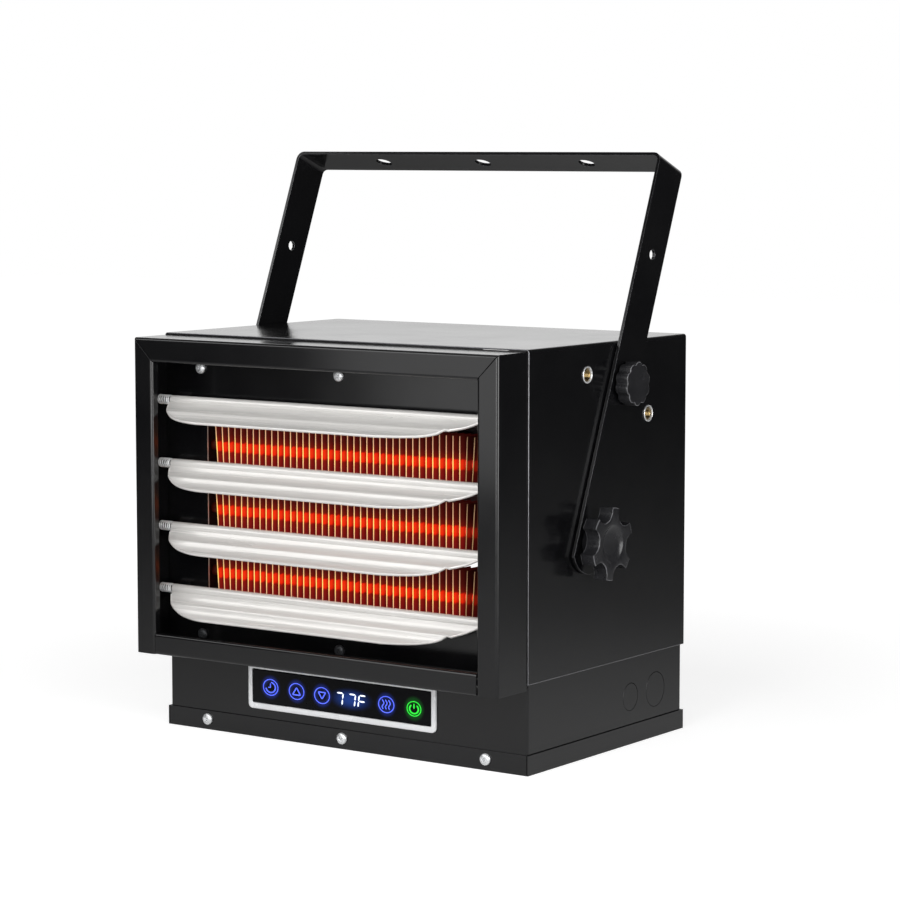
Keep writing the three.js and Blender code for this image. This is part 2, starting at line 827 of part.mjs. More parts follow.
function groundStud() {
  const wall = boxBack - sheet - gap;
  const plate = block(6, 26, wall - 2, wall, 24, 44);
  const stud = rodY(2.5, wall - 16, wall - 1, 16, 34, 10);
  const nut = rodY(4.6, wall - 7, wall - 1, 16, 34, 6);
  return joined(plate, stud, nut);
}

// A bimetal disc that cuts the elements off when the chamber overheats.
function thermalCutout() {
  const face = baffleBack + gap;
  const ears = alongY(roundedRectangle(48, 281, 76, 289, 3.9), face, face + 1);
  const can = rodY(8, face, face + 9, 62, 285, 16);
  const tabs = [58, 66].map((x) => block(x - 2, x + 2, face + 8, face + 18, 284.6, 285.4));
  return joined(ears, can, ...tabs);
}

// A bead on a clip inside the rear panel, where the room's air comes in.
function temperatureSensor() {
  const face = back - sheet - gap;
  const clip = block(120, 134, face - 1.2, face, 92, 104);
  const bead = turnedAboutX(
    [
      [0, -9],
      [1.8, -8.5],
      [3, -6],
      [3, 5],
      [0, 5],
    ],
    10,
  ).translate(127, face - 3.6, 98);
  return joined(clip, bead);
}

// ---- screws ----

function panScrew(reach) {
  const dome = arc(0, 0, 1, 0, 90, 2).map((p) => [
    screwHeadRadius * (0.35 + 0.65 * p.x),
    0.7 + (screwHeadHeight - 0.7) * p.y,
  ]);
  dome[0][0] = screwHeadRadius;
  dome[2][0] = 0;
  const profile = [[0, -reach], [screwShankRadius, -reach], [screwShankRadius, 0], [screwHeadRadius, 0], ...dome];
  return turned(profile, 10).rotateX(Math.PI / 2);
}

function screws(face, reach, places) {
  for (const [name, x, z] of places) {
    const mesh = piece(name, panScrew(reach), zinc);
    mesh.position.set(x, face, z);
  }
}

// ---- bracket and knobs ----

// A strap bent into a square arch, drawn upright about the pivot axis.
function mountBracket() {
  const foot = -legEndRadius;
  const corners = [
    point(bracketOuterX, foot),
    point(bracketOuterX, bracketReach),
    point(-bracketOuterX, bracketReach),
    point(-bracketOuterX, foot),
  ];
  const arch = alongY(bentStrip(corners, bracketThickness, bracketBend, 4), -bracketWidth / 2, bracketWidth / 2);
  // each leg ends in an arc about the pivot
  const half = bracketWidth / 2;
  const corner = Math.sqrt(legEndRadius ** 2 - half ** 2);
  const sweep = THREE.MathUtils.radToDeg(Math.atan2(corner, half));
  const legShape = [
    point(half + 1, bracketReach + 1),
    point(-half - 1, bracketReach + 1),
    point(-half - 1, -corner),
    ...arc(0, 0, legEndRadius, 180 + sweep, 360 - sweep, 8),
    point(half + 1, -corner),
  ];
  const shaped = common(arch, alongX(legShape, -bracketOuterX - 1, bracketOuterX + 1));
  const legHoles = [
    [4.3, 0],
    [4.3, lockRadius],
    [4.1, legHoleAt],
  ].map(([radius, z]) => rodX(radius, -bracketOuterX - 1, bracketOuterX + 1, 0, z, 10));
  const strapHoles = [-1, 0, 1].map((i) =>
    rodZ(strapHoleRadius, bracketReach - 5, bracketReach + 5, i * strapHoleSpacing, 0, 16),
  );
  return cut(shaped, ...legHoles, ...strapHoles);
}

// Six lobes: their tips lie on one circle and have corners, and round hollows part them.
function starOutline() {
  const lobes = 6;
  const tipRadius = 28.25;
  const tipHalfAngle = 9.5;
  const hollowRadius = 10.3;
  const hollowAt = 29.3;
  const half = 180 / lobes;
  // the way from a hollow's centre to the corner of the lobe beside it
  const offset = radians(half - tipHalfAngle);
  const toCorner = THREE.MathUtils.radToDeg(
    Math.atan2(tipRadius * Math.sin(offset), tipRadius * Math.cos(offset) - hollowAt),
  );
  const points = [];
  for (let i = 0; i < lobes; i++) {
    const angle = (360 * i) / lobes;
    points.push(...arc(0, 0, tipRadius, angle - tipHalfAngle, angle + tipHalfAngle, 2));
    const hollow = point(hollowAt, 0).rotateAround(point(0, 0), radians(angle + half));
    const arcFrom = angle + half + 360 - toCorner;
    const arcTo = angle + half + toCorner;
    points.push(...arc(hollow.x, hollow.y, hollowRadius, arcFrom, arcTo, 6).slice(1, -1));
  }
  return points;
}

const knobBase = bracketOuterX + gap;

// Star knob of the pivot: a dished face, a hub against the bracket and a stud through it.
function pivotKnob() {
  const face = 202.3;
  const lobesBack = face - 12;
  const star = alongX(starOutline(), lobesBack, face);
  const hub = turnedAboutX(
    [
      [0, knobBase],
      [13, knobBase],
      [16.5, lobesBack + 1],
      [0, lobesBack + 1],
    ],
    16,
  );
  const stud = rodX(3.8, halfWidth - 12, knobBase + 1, 0, 0, 10);
  const dish = turnedAboutX(
    [
      [0, face - 2.6],
      [11, face - 2.6],
      [14.5, face + 0.5],
      [0, face + 0.5],
    ],
    18,
  );
  return cut(joined(star, hub, stud), dish);
}

// Fluted knob that locks the tilt; its stud ends in the bracket's hole.
function lockKnob() {
  const face = 194.6;
  const flutes = 10;
  const steps = 40;
  const outline = [];
  for (let i = 0; i < steps; i++) {
    const angle = (2 * Math.PI * i) / steps;
    const radius = 17.3 - 1.1 * Math.sin((flutes * angle) / 2) ** 6;
    outline.push(point(radius * Math.cos(angle), radius * Math.sin(angle)));
  }
  const grip = alongX(outline, face - 11, face);
  const hub = rodX(9, knobBase, face - 10, 0, 0, 12);
  const stud = rodX(3.8, bracketOuterX - bracketThickness + gap, knobBase + 1, 0, 0, 10);
  return joined(grip, hub, stud);
}

// ---- assembly ----

piece("cabinet_wrap", cabinetWrap(), blackPaint);
piece("rear_panel", rearPanel(), blackPaint);
piece("front_baffle", frontBaffle(), blackPaint);
piece("frame_right", sideMember(1), blackPaint);
piece("frame_left", sideMember(-1), blackPaint);
piece("frame_top", topMember(), blackPaint);
piece("frame_bottom", bottomMember(), blackPaint);
piece("control_box", controlBox(), blackPaint);
piece("divider_floor", dividerFloor(), galvanised);
piece("base_tray", baseTray(), blackPaint);
knockouts.forEach((knockout) => piece(knockout.name, knockoutDisc(knockout), blackPaint));

louverHeights.forEach((unused, i) => louver(i));
louverSprings();

["bottom", "middle", "top"].forEach((row, i) => {
  const mesh = piece(`heating_element_${row}`, heatingElement(), finSteel);
  mesh.position.set(0, elementY, elementRows[i]);
});
piece("element_plate_right", elementPlate(1), galvanised);
piece("element_plate_left", elementPlate(-1), galvanised);
piece("thermal_cutout", thermalCutout(), phenolic);

const fanGroup = groupAt(0, 0, fanHeight);
piece("fan_motor", fanMotor(), motorPaint, fanGroup);
piece("motor_shaft", motorShaft(), zinc, fanGroup);
piece("motor_bracket", motorBracket(), galvanised, fanGroup);
piece("rear_guard", rearGuard(), blackPaint, fanGroup);
piece("fan_blade", fan(), fanAluminium, fanGroup).position.y = fanMiddle;
piece("temperature_sensor", temperatureSensor(), blackPlastic);

piece("display_bezel", displayBezel(), silverPlastic);
piece("display_glass", displayGlass(), blackGlass);
piece("control_board", controlBoard(), boardGreen);
piece("power_relay", powerRelay(), phenolic);
piece("terminal_block", terminalBlock(), phenolic);
piece("ground_stud", groundStud(), yellowZinc);

screws(
  front - 0.2,
  7,
  traySize.screwX.map((x, i) => [`base_screw_${["left", "middle", "right"][i]}`, x, traySize.screwZ]),
);
screws(
  front - 0.2,
  9,
  panelScrewZ.flatMap((z, row) =>
    [-1, 0, 1].map((i) => [
      `baffle_screw_${["lower", "upper"][row]}_${["left", "middle", "right"][i + 1]}`,
      i * panelScrewX,
      z,
    ]),
  ),
);

for (const [sideName, side] of [
  ["right", 1],
  ["left", -1],
]) {
  const places = [["pivot_insert", pivotY, pivotZ]];
  lockAngles.forEach((angle, i) =>
    places.push([`angle_insert_${["upright", "middle", "back"][i]}`, ...lockPoint(angle)]),
  );
  for (const [name, y, z] of places)
    piece(`${name}_${sideName}`, threadedInsert(side), yellowZinc).position.set(0, y, z);

  const facing = (geometry) => (side > 0 ? geometry : geometry.rotateZ(Math.PI));
  const knob = piece(`pivot_knob_${sideName}`, facing(pivotKnob()), blackPlastic);
  knob.position.set(0, pivotY, pivotZ);
  knob.rotation.x = radians(21);
}

const bracketGroup = groupAt(0, pivotY, pivotZ, -bracketLean);
piece("mount_bracket", mountBracket(), blackPaint, bracketGroup);
const lockRight = piece("lock_knob_right", lockKnob(), blackPlastic, bracketGroup);
const lockLeft = piece("lock_knob_left", lockKnob().rotateZ(Math.PI), blackPlastic, bracketGroup);
lockRight.position.z = lockRadius;
lockLeft.position.z = lockRadius;

export default heater;
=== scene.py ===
# A ceiling-hung fan heater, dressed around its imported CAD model: satin black sheet metal, silvery louvers
# on springs, glowing finned elements, a touch display, a fan behind a wire guard and a tilting bracket.
# Shapes are in millimetres and become metres in makeMesh. The studio is in metres.
import math

import bmesh
import bpy
import numpy as np
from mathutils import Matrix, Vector


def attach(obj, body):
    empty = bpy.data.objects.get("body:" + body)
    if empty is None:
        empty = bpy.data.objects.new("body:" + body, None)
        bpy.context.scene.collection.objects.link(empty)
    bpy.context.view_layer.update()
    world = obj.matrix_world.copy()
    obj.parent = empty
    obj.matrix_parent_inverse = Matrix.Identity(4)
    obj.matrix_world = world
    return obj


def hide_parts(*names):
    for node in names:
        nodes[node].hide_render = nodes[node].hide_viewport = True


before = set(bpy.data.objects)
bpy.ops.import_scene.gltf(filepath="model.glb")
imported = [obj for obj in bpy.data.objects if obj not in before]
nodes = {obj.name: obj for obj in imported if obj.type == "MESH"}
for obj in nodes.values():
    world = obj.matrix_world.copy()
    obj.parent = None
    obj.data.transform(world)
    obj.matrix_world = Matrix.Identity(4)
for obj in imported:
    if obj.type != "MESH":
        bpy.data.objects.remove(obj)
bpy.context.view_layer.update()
mm = 0.001
print("frame loaded:", len(nodes), "nodes")


# Small helpers for materials.

def linear(hexText):  # sRGB hex to the linear values that the shaders take
    values = [int(hexText[i:i + 2], 16) / 255 for i in (1, 3, 5)]
    return [v / 12.92 if v <= 0.04045 else ((v + 0.055) / 1.055) ** 2.4 for v in values] + [1.0]


def feed(tree, node, inputs):  # an input that is a socket is linked, any other is a value
    for name, value in inputs.items():
        if isinstance(value, bpy.types.NodeSocket):
            tree.links.new(value, node.inputs[name])
        else:
            node.inputs[name].default_value = value


def addNode(tree, kind, inputs, **properties):
    node = tree.nodes.new("ShaderNode" + kind)
    for name, value in properties.items():
        setattr(node, name, value)
    feed(tree, node, inputs)
    return node


def calc(tree, operation, *values):  # arithmetic on sockets and values
    return addNode(tree, "Math", dict(enumerate(values)), operation=operation).outputs[0]


def remap(tree, value, low, high, atLow, atHigh, **properties):  # low to high becomes atLow to atHigh
    ends = {"From Min": low, "From Max": high, "To Min": atLow, "To Max": atHigh}
    return addNode(tree, "MapRange", {"Value": value, **ends}, **properties).outputs[0]


def blend(tree, share, *colors):  # from one colour to another, each a socket or an sRGB hex
    first, second = [linear(color) if isinstance(color, str) else color for color in colors]
    return addNode(tree, "Mix", {0: share, 6: first, 7: second}, data_type="RGBA").outputs[2]


def noise(tree, coords, width, detail, **inputs):  # spots of this width
    spots = {"Vector": coords, "Scale": 1000 / width, "Detail": detail, **inputs}
    return addNode(tree, "TexNoise", spots).outputs["Fac"]


def ramp(tree, value, stops):  # colours along a value, as position and sRGB hex
    node = addNode(tree, "ValToRGB", {0: value})
    elements = node.color_ramp.elements
    while len(elements) < len(stops):
        elements.new(0.5)
    for stop, (position, color) in zip(elements, stops):
        stop.position = position
        stop.color = linear(color)
    return node.outputs[0]


def startMaterial(name, **shaderInputs):  # an empty material, its tree, its shader and its Object coordinates
    material = bpy.data.materials.new(name)
    material.use_nodes = True
    tree = material.node_tree
    shader = tree.nodes["Principled BSDF"]
    feed(tree, shader, shaderInputs)
    return material, tree, shader, addNode(tree, "TexCoord", {}).outputs["Object"]


def mottled(name, dark, light, patch, grain, depth, rough, metallic=0.0, strength=0.3, drawn=(1, 1, 1)):
    # Two tones that drift into each other over a patch, a roughness that drifts the same way, and a fine bump.
    # Patch and grain are the widths of one spot, depth is the height of the bump. Drawn is how much finer the
    # pattern is along each axis, so a small share draws it out into streaks.
    material, tree, shader, coords = startMaterial(name, Metallic=metallic)
    stretched = addNode(tree, "Mapping", {"Vector": coords, "Scale": drawn}).outputs[0]
    patches, grains = noise(tree, stretched, patch, 3.0), noise(tree, stretched, grain, 2.0)
    share = remap(tree, calc(tree, "ADD", patches, grains), 0.7, 1.3, 0, 1)
    bump = addNode(tree, "Bump", {"Height": grains, "Strength": strength, "Distance": depth * mm})
    feed(tree, shader, {"Base Color": blend(tree, share, dark, light), "Normal": bump.outputs[0],
                        "Roughness": remap(tree, patches, 0.3, 0.7, *rough)})
    return material


# Small helpers for shapes. A surface is an array of points and an array of quads.

def fullTurn(steps):  # equal angles round a circle
    return 2 * np.pi * np.arange(steps) / steps


def eased(value):  # 0 to 1 with flat ends
    value = np.clip(value, 0, 1)
    return value * value * (3 - 2 * value)


def skin(grid, closedU=False, closedV=True, capped=False):
    # Quads between neighbours of a grid of points. A cap runs across a ring as a ladder, from each point to the
    # one that faces it, so it also closes thin or bent rings.
    rows, columns = grid.shape[:2]
    index = np.arange(rows * columns).reshape(rows, columns)
    wide = np.hstack([index, index[:, :1]]) if closedV else index
    wide = np.vstack([wide, wide[:1]]) if closedU else wide
    quads = np.stack([wide[:-1, :-1], wide[:-1, 1:], wide[1:, 1:], wide[1:, :-1]], -1).reshape(-1, 4)
    if capped:
        near = np.arange(columns // 2 - 1)
        rungs = np.stack([near, near + 1, columns - 2 - near, columns - 1 - near], -1)
        quads = np.vstack([quads, index[0][rungs], index[-1][rungs[:, ::-1]]])
    return grid.reshape(-1, 3), quads


def gather(*surfaces):  # several surfaces as one
    counts = np.cumsum([0] + [len(points) for points, quads in surfaces])
    points = np.vstack([points for points, quads in surfaces])
    return points, np.vstack([quads + start for (_, quads), start in zip(surfaces, counts)])


def placed(surface, at, side=1, tilt=0):  # tilted about X by degrees, mirrored for the left side, then moved
    c, s = math.cos(math.radians(tilt)), math.sin(math.radians(tilt))
    return surface[0] @ np.array([[1, 0, 0], [0, c, s], [0, -s, c]]) * [side, 1, 1] + at, surface[1]


def turned(profile, steps, axis="x", at=(0, 0, 0), side=1):
    # Each (radius, height) of the profile goes round the axis: radius * cos, radius * sin and the height.
    radii, heights = np.asarray(profile, float).T
    cosines, sines = np.outer(radii, np.cos(fullTurn(steps))), np.outer(radii, np.sin(fullTurn(steps)))
    heights = np.repeat(heights[:, None], steps, axis=1)
    order = (heights, cosines, sines) if axis == "x" else (cosines, heights, sines)
    return placed(skin(np.stack(order, -1)), at, side)


def wireSurface(centres, outward, across, radius, closed=False):
    # Round wire along a path: centre + radius * (cos * outward + sin * across).
    turns = fullTurn(10)[None, :, None]
    sides = np.cos(turns) * outward[:, None] + np.sin(turns) * across[:, None]
    return skin(centres[:, None] + radius * sides, closedU=closed, capped=not closed)


def makeMesh(name, surface, sharpAngle):
    # Millimetres in, metres out. Points that meet are merged, so a ring drawn in to one point closes as a pole.
    points, quads = surface
    mesh = bpy.data.meshes.new(name)
    mesh.from_pydata((points * mm).tolist(), [], quads.tolist())
    work = bmesh.new()
    work.from_mesh(mesh)
    bmesh.ops.remove_doubles(work, verts=work.verts, dist=2e-6)
    bmesh.ops.dissolve_degenerate(work, edges=work.edges, dist=1e-7)
    bmesh.ops.recalc_face_normals(work, faces=work.faces)
    work.to_mesh(mesh)
    work.free()
    mesh.shade_smooth()
    mesh.set_sharp_from_angle(angle=math.radians(sharpAngle))
    return mesh


def addObject(name, data):
    item = bpy.data.objects.new(name, data)
    bpy.context.scene.collection.objects.link(item)
    return item


def addPiece(name, shape, finish, body, replaced=(), sharpAngle=32):
    # A surface, or a finished mesh, as a piece that rides on a body.
    mesh = makeMesh(name, shape, sharpAngle) if isinstance(shape, tuple) else shape
    piece = addObject(name, mesh)
    mesh.materials.clear()
    for one in finish if isinstance(finish, list) else [finish]:
        mesh.materials.append(one)
    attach(piece, body)
    if replaced:
        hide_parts(*replaced)
    return piece


def flattenFaces(piece, keepSharp):  # wide faces keep their own normals, so the bends beside them don't shade them
    flats = piece.modifiers.new("flatFaces", "WEIGHTED_NORMAL")
    flats.weight = 90
    flats.keep_sharp = keepSharp


def softened(nodeName, finish, body, width, wideWidth=1.0, isWide=None, highlightEdgeFinish=None, cuts=()):
    # A merged copy of a CAD solid with its sheet edges rounded over, which is what catches the light on the real
    # one. Edges whose ends both pass isWide, a test on a point, get the wider rounding. The roundings can have a
    # lighter finish of their own, which paints a highlight along them. Cuts, as an axis and a place, split long
    # faces just before a bend, so that the bend's shading stays there.
    sharp = math.radians(34)
    mesh = nodes[nodeName].data.copy()
    mesh.name = nodeName + "_finished"
    work = bmesh.new()
    work.from_mesh(mesh)
    bmesh.ops.remove_doubles(work, verts=work.verts, dist=3e-6)
    bmesh.ops.dissolve_limit(work, angle_limit=math.radians(0.6), verts=work.verts, edges=work.edges)
    for axis, place in cuts:
        direction = Vector([float(axis == i) for i in range(3)])
        bmesh.ops.bisect_plane(work, geom=[*work.verts, *work.edges, *work.faces], dist=1e-6,
                               plane_co=direction * place * mm, plane_no=direction)
    weights = work.edges.layers.float.new("bevel_weight_edge")
    for edge in work.edges:
        if len(edge.link_faces) == 2 and edge.calc_face_angle(0) > sharp:
            wide = isWide and all(isWide(end.co / mm) for end in edge.verts)
            edge[weights] = 1.0 if wide else width / wideWidth
    work.to_mesh(mesh)
    work.free()
    mesh.shade_smooth()
    mesh.set_sharp_from_angle(angle=sharp)
    finishes = [finish, highlightEdgeFinish] if highlightEdgeFinish else finish
    piece = addPiece(nodeName + "_finished", mesh, finishes, body, [nodeName])
    edges = piece.modifiers.new("roundedEdges", "BEVEL")
    edges.width = wideWidth * mm
    edges.segments = 3
    edges.limit_method = "WEIGHT"
    edges.material = 1 if highlightEdgeFinish else -1
    flattenFaces(piece, False)
    return piece


# Finishes.

# Polyester powder coat on steel: deep black, satin, with a faint orange peel of about 1 mm that breaks up reflections.
powderCoat = mottled("satinBlackPowderCoat", dark="#08080A", light="#0E0E0F", patch=60, grain=1.1, depth=0.01,
                     rough=(0.15, 0.2), strength=0.2)

# The same coat on the rounded sheet edges, painted greyer and shinier: a painted highlight, so each edge shows as a
# fine light line.
edgeHighlightCoat = mottled("paintedHighlightCoatEdge", dark="#6A6A6C", light="#86868A", patch=20, grain=1.1, depth=0.004,
                   rough=(0.16, 0.22), metallic=0.6, strength=0.1)

# Injection-moulded glass-filled nylon: dull black, slightly grainy, a little lighter in random patches.
nylon = mottled("mouldedBlackNylon", dark="#1B1B1D", light="#262628", patch=9, grain=0.5, depth=0.02,
                rough=(0.2, 0.28))

# The same nylon on the knobs' rims, painted lighter grey and shinier: a painted highlight along each rim.
nylonRimHighlight = mottled("paintedHighlightNylonRim", dark="#4C4C4E", light="#6A6A6D", patch=6, grain=0.8, depth=0.004,
                      rough=(0.16, 0.24), strength=0.1)

# Pale metal grey on the baffle window's upright cut edges, a painted highlight: each edge shows as a thin light line.
cutEdgeHighlight = mottled("paintedHighlightCutEdge", dark="#B4B2AE", light="#D6D3CE", patch=5, grain=0.5, depth=0.01,
                  rough=(0.3, 0.42), metallic=0.5)

# Aluminium strip, rolled and lacquered silver-white: almost white where it faces the light, with long soft
# highlights and faint streaks along its length.
louverSilver = mottled("satinSilverAluminium", dark="#CCCAC7", light="#D9D7D4", patch=12, grain=1.0, depth=0.002,
                       rough=(0.25, 0.31), metallic=0.2, strength=0.1, drawn=(0.04, 1, 1))

# Bright zinc plate on small steel parts: pale, faintly blue, clouded where it was barrel-plated.
zincPlate = mottled("brightZincPlate", dark="#D2D4D6", light="#F0F1F2", patch=3, grain=0.4, depth=0.02,
                    rough=(0.2, 0.36), metallic=0.6)

# Nickel-bright spring wire, its colour painted almost white: a painted reflection of the room, which small round steel
# mirrors.
springWireWithPaintedReflection = mottled("springWirePaintedReflection", dark="#E6E7E8", light="#FAFAFA", patch=2, grain=0.5, depth=0.01,
                      rough=(0.25, 0.35), metallic=0.15)

# Yellow chromate on zinc: straw coloured with a faint greenish drift.
yellowZinc = mottled("yellowChromateZinc", dark="#6E5B3E", light="#AE9768", patch=2.5, grain=0.4, depth=0.02,
                     rough=(0.2, 0.36), metallic=1.0)

# Hot-dip galvanised sheet: grey with soft spangle.
galvanised = mottled("galvanisedSheet", dark="#8B8E91", light="#A9ACAE", patch=12, grain=4, depth=0.01,
                     rough=(0.35, 0.5), metallic=0.9)

# Galvanised steel beside the elements, which heat has stained: dark straw and brown with bluish clouds.
heatStained = mottled("heatStainedSteel", dark="#231C1A", light="#3D3430", patch=14, grain=1.5, depth=0.01,
                      rough=(0.45, 0.6), metallic=0.5)

# Black chromate on zinc: near black with a soft grey shine. On the lower baffle screws it is painted shade, as those
# heads sit in the hood's shadow.
blackZincAndPaintedShade = mottled("blackChromateZincAndShade", dark="#2A2B2D", light="#47494C", patch=3, grain=0.4, depth=0.02,
                    rough=(0.4, 0.5), metallic=0.5)

# Stamped aluminium fan: plain mill surface, dull silver.
millAluminium = mottled("millFinishAluminium", dark="#A9ABAD", light="#C4C6C7", patch=20, grain=0.7, depth=0.02,
                        rough=(0.32, 0.46), metallic=0.95)

# Dark stoving enamel on the motor's shell.
motorEnamel = mottled("darkMotorEnamel", dark="#1C1D1F", light="#2C2D30", patch=18, grain=0.9, depth=0.03,
                      rough=(0.4, 0.52))

# Glossy ABS with a silver-white lacquer: the display's rim.
silverAbs = mottled("silverWhiteAbs", dark="#E2E3E5", light="#EFF0F1", patch=25, grain=0.6, depth=0.005,
                    rough=(0.22, 0.3), metallic=0.1, strength=0.15)

# Dark phenolic moulding: relay, terminal block and thermal cut-out.
phenolic = mottled("darkPhenolic", dark="#1D1714", light="#2E2622", patch=6, grain=0.5, depth=0.03, rough=(0.45, 0.6))

# Fibreglass board under green solder resist.
boardResist = mottled("greenSolderResist", dark="#14482F", light="#1F6040", patch=4, grain=0.8, depth=0.01,
                      rough=(0.25, 0.4))
print("finishes ready")

# Sheet metal: merged copies of the CAD solids with eased edges.


def onWrapFront(point):  # the cabinet's outer front edge, also round its two bends
    return point.y < -114.35 and math.hypot(max(abs(point.x) - 175.6, 0), max(point.z - 321, 0)) > 2.2


def onLeg(point):  # the bracket's upright legs, without the strap and its bends
    return abs(point.x) > 179.4


for nodeName, width in {"rear_panel": 0.4, "front_baffle": 0.35, "control_box": 0.4, "base_tray": 0.45,
                        "knockout_small": 0.3, "knockout_large": 0.3}.items():
    softened(nodeName, powderCoat, "cabinet", width)
baffle = bpy.data.objects["front_baffle_finished"].data
baffle.materials.append(cutEdgeHighlight)
# The window's upright cut edges take the pale finish, a painted highlight.
for face in baffle.polygons:  # the window's upright cut edges
    if abs(face.normal.x) > 0.9 and 0.12 < abs(face.center.x) < 0.14:
        face.material_index = 1
# The wrap's and the bracket's rounded edges take the lighter edge coat, a painted highlight.
softened("cabinet_wrap", powderCoat, "cabinet", 0.3, 0.8, onWrapFront, edgeHighlightCoat,
         [(0, -174.4), (0, 174.4), (2, 319.8)])
softened("mount_bracket", powderCoat, "bracket", 0.35, 1.0, onLeg, edgeHighlightCoat,
         [(0, -174.4), (0, 174.4)])
for nodeName in ("motor_bracket", "divider_floor"):
    softened(nodeName, galvanised, "cabinet", 0.3)
for nodeName in ("element_plate_right", "element_plate_left"):
    softened(nodeName, heatStained, "cabinet", 0.3)
print("sheet metal ready")

# Front frame.

frameWork = {
    "half": 177.1, "top": 321.5, "bottom": 65.4, "front": -154.2, "rear": -114.7, "sheet": 1.2, "bend": 2.4,
    "hem": 7.0, "lipSide": 19.2, "lipTop": 19.4, "lipBottom": 17.2, "seam": 0.3, "bushY": -127.5,
    "bushes": [270.1, 218.6, 167.1, 116.1], "shelf": (-151.8, -114.7), "shelfEnd": 175.6,
}
cutEdge = ((0.4, 0.0), (0.12, 0.12), (0.0, 0.4))  # a rounded cut edge, as steps inwards and along


def foldedSection(lip):
    # The folded sheet seen on end, as distance from its wall's outside and y: forwards along the wall, round a
    # bend, across the face, round the inner bend and back along a short hem, first outside and then inside.
    sheet, bend, front, rear = (frameWork[key] for key in ("sheet", "bend", "front", "rear"))
    turn = np.radians(np.linspace(180, 270, 9))
    edge = np.array(cutEdge)
    past = bend + 0.4  # just past a bend
    sides = []
    for inset, inward in ((0, 1), (sheet, -1)):
        arcs = [np.stack([centre + (bend - inset) * np.cos(turn + shift),
                          front + bend + (bend - inset) * np.sin(turn + shift)], -1)
                for centre, shift in ((bend, 0), (lip - bend, np.pi / 2))]
        start = np.stack([inset + inward * edge[:, 0], rear - edge[:, 1]], -1)
        stop = np.stack([lip - inset - inward * edge[::-1, 0], front + frameWork["hem"] - edge[::-1, 1]], -1)
        sides.append(np.vstack([start, [(inset, front + past)], arcs[0], [(past, front + inset)],
                                [(lip - past, front + inset)], arcs[1], [(lip - inset, front + past)], stop]))
    return np.vstack([sides[0], sides[1][::-1]])


def frameMember(lip, place, startOf, endOf):
    # The section carried from one end to the other. Each end's place depends on the distance from the wall, which
    # makes the mitres, and the last rings draw in along the outline's normals to round the cut edge.
    section = foldedSection(lip)
    along = np.roll(section, -1, 0) - np.roll(section, 1, 0)
    along /= np.linalg.norm(along, axis=1, keepdims=True)
    outward = np.stack([along[:, 1], -along[:, 0]], -1)
    rings = [(section - outward * inset, step, startOf) for inset, step in cutEdge]
    rings += [(section - outward * inset, -step, endOf) for inset, step in cutEdge[::-1]]
    return skin(np.array([place(ring, endAt(ring[:, 0]) + step) for ring, step, endAt in rings]), capped=True)


def frameSurfaces():
    half, top, bottom, seam, sheet = (frameWork[key] for key in ("half", "top", "bottom", "seam", "sheet"))
    members = {}
    for name, side in (("frame_right", 1), ("frame_left", -1)):
        upright = frameMember(frameWork["lipSide"],
                              lambda ring, z: np.stack([side * (half - ring[:, 0]), ring[:, 1], z], -1),
                              lambda u: bottom + 0 * u, lambda u: top - u - seam)
        bush = [[2.3, half - 3.6], [3.75, half - 3.6], [3.75, half - 1.1], [2.3, half - 1.1], [2.3, half - 3.6]]
        bushes = [turned(bush, 24, "x", (0, frameWork["bushY"], z), side) for z in frameWork["bushes"]]
        members[name] = gather(upright, *bushes)
    members["frame_top"] = frameMember(frameWork["lipTop"],
                                       lambda ring, x: np.stack([x, ring[:, 1], top - ring[:, 0]], -1),
                                       lambda u: u + seam - half, lambda u: half - u - seam)
    reach = half - frameWork["lipSide"] - seam
    rail = frameMember(frameWork["lipBottom"], lambda ring, x: np.stack([x, ring[:, 1], bottom + ring[:, 0]], -1),
                       lambda u: 0 * u - reach, lambda u: 0 * u + reach)
    (shelfFront, shelfBack), low, high = frameWork["shelf"], bottom + 0.02, bottom + sheet - 0.02
    shelf = np.array([(shelfFront, low), (shelfBack, low), (shelfBack, high), (shelfFront, high)])
    ends = [skin(np.array([np.column_stack([np.full(4, x), shelf]) for x in run]), capped=True)
            for run in ((-frameWork["shelfEnd"], 0.1 - reach), (reach - 0.1, frameWork["shelfEnd"]))]
    members["frame_bottom"] = gather(rail, *ends)
    return members


for nodeName, surface in frameSurfaces().items():
    member = addPiece(nodeName + "_folded", surface, powderCoat, "cabinet", [nodeName])
    flattenFaces(member, True)
print("frame ready")

# Louvers.

louver = {
    "pivotY": -127.5, "heights": [270.1, 218.6, 167.1, 116.1], "tilts": [37.5, 45.5, 46.5, 56],
    "left": -159.7, "right": 170.0, "bead": 3.75, "beadWall": 1.0, "sheet": 1.0, "chord": 27.1,
    "hem": 1.25, "hollows": (3.15, 25.4), "dip": 1.3, "rise": 0.6, "pin": 2.0, "pinEnd": 175.6, "pinDepth": 8.8,
    "curls": 6, "springRadius": 3.45, "springWire": 0.52, "springFrom": -173.2, "springTo": -160.0,
}


def bezier(points, steps):  # a curve of two or three degrees from its control points
    t = np.linspace(0, 1, steps)[:, None]
    points = [np.array(p, float) for p in points]
    while len(points) > 1:
        points = [a + (b - a) * t for a, b in zip(points[:-1], points[1:])]
    return points[0]


def louverEdge():
    # How far the blade reaches at each x: a round corner at the left, a straight middle, and a long taper at the
    # right with a small notch in it.
    left, chord = louver["left"], louver["chord"]
    return np.vstack([bezier([(left, 7), (left + 2, 19), (left + 20, 27), (-116, chord)], 30),
                      np.stack([np.linspace(-113, 57, 35), np.full(35, chord)], -1),
                      bezier([(60, chord), (96, 26), (114, 18.2)], 20),
                      np.array([(115.4, 17.1), (118, 15.2), (119.2, 15.0), (121, 15.3)]),
                      bezier([(122, 15.6), (138, 8.5), (150, 2)], 16)])


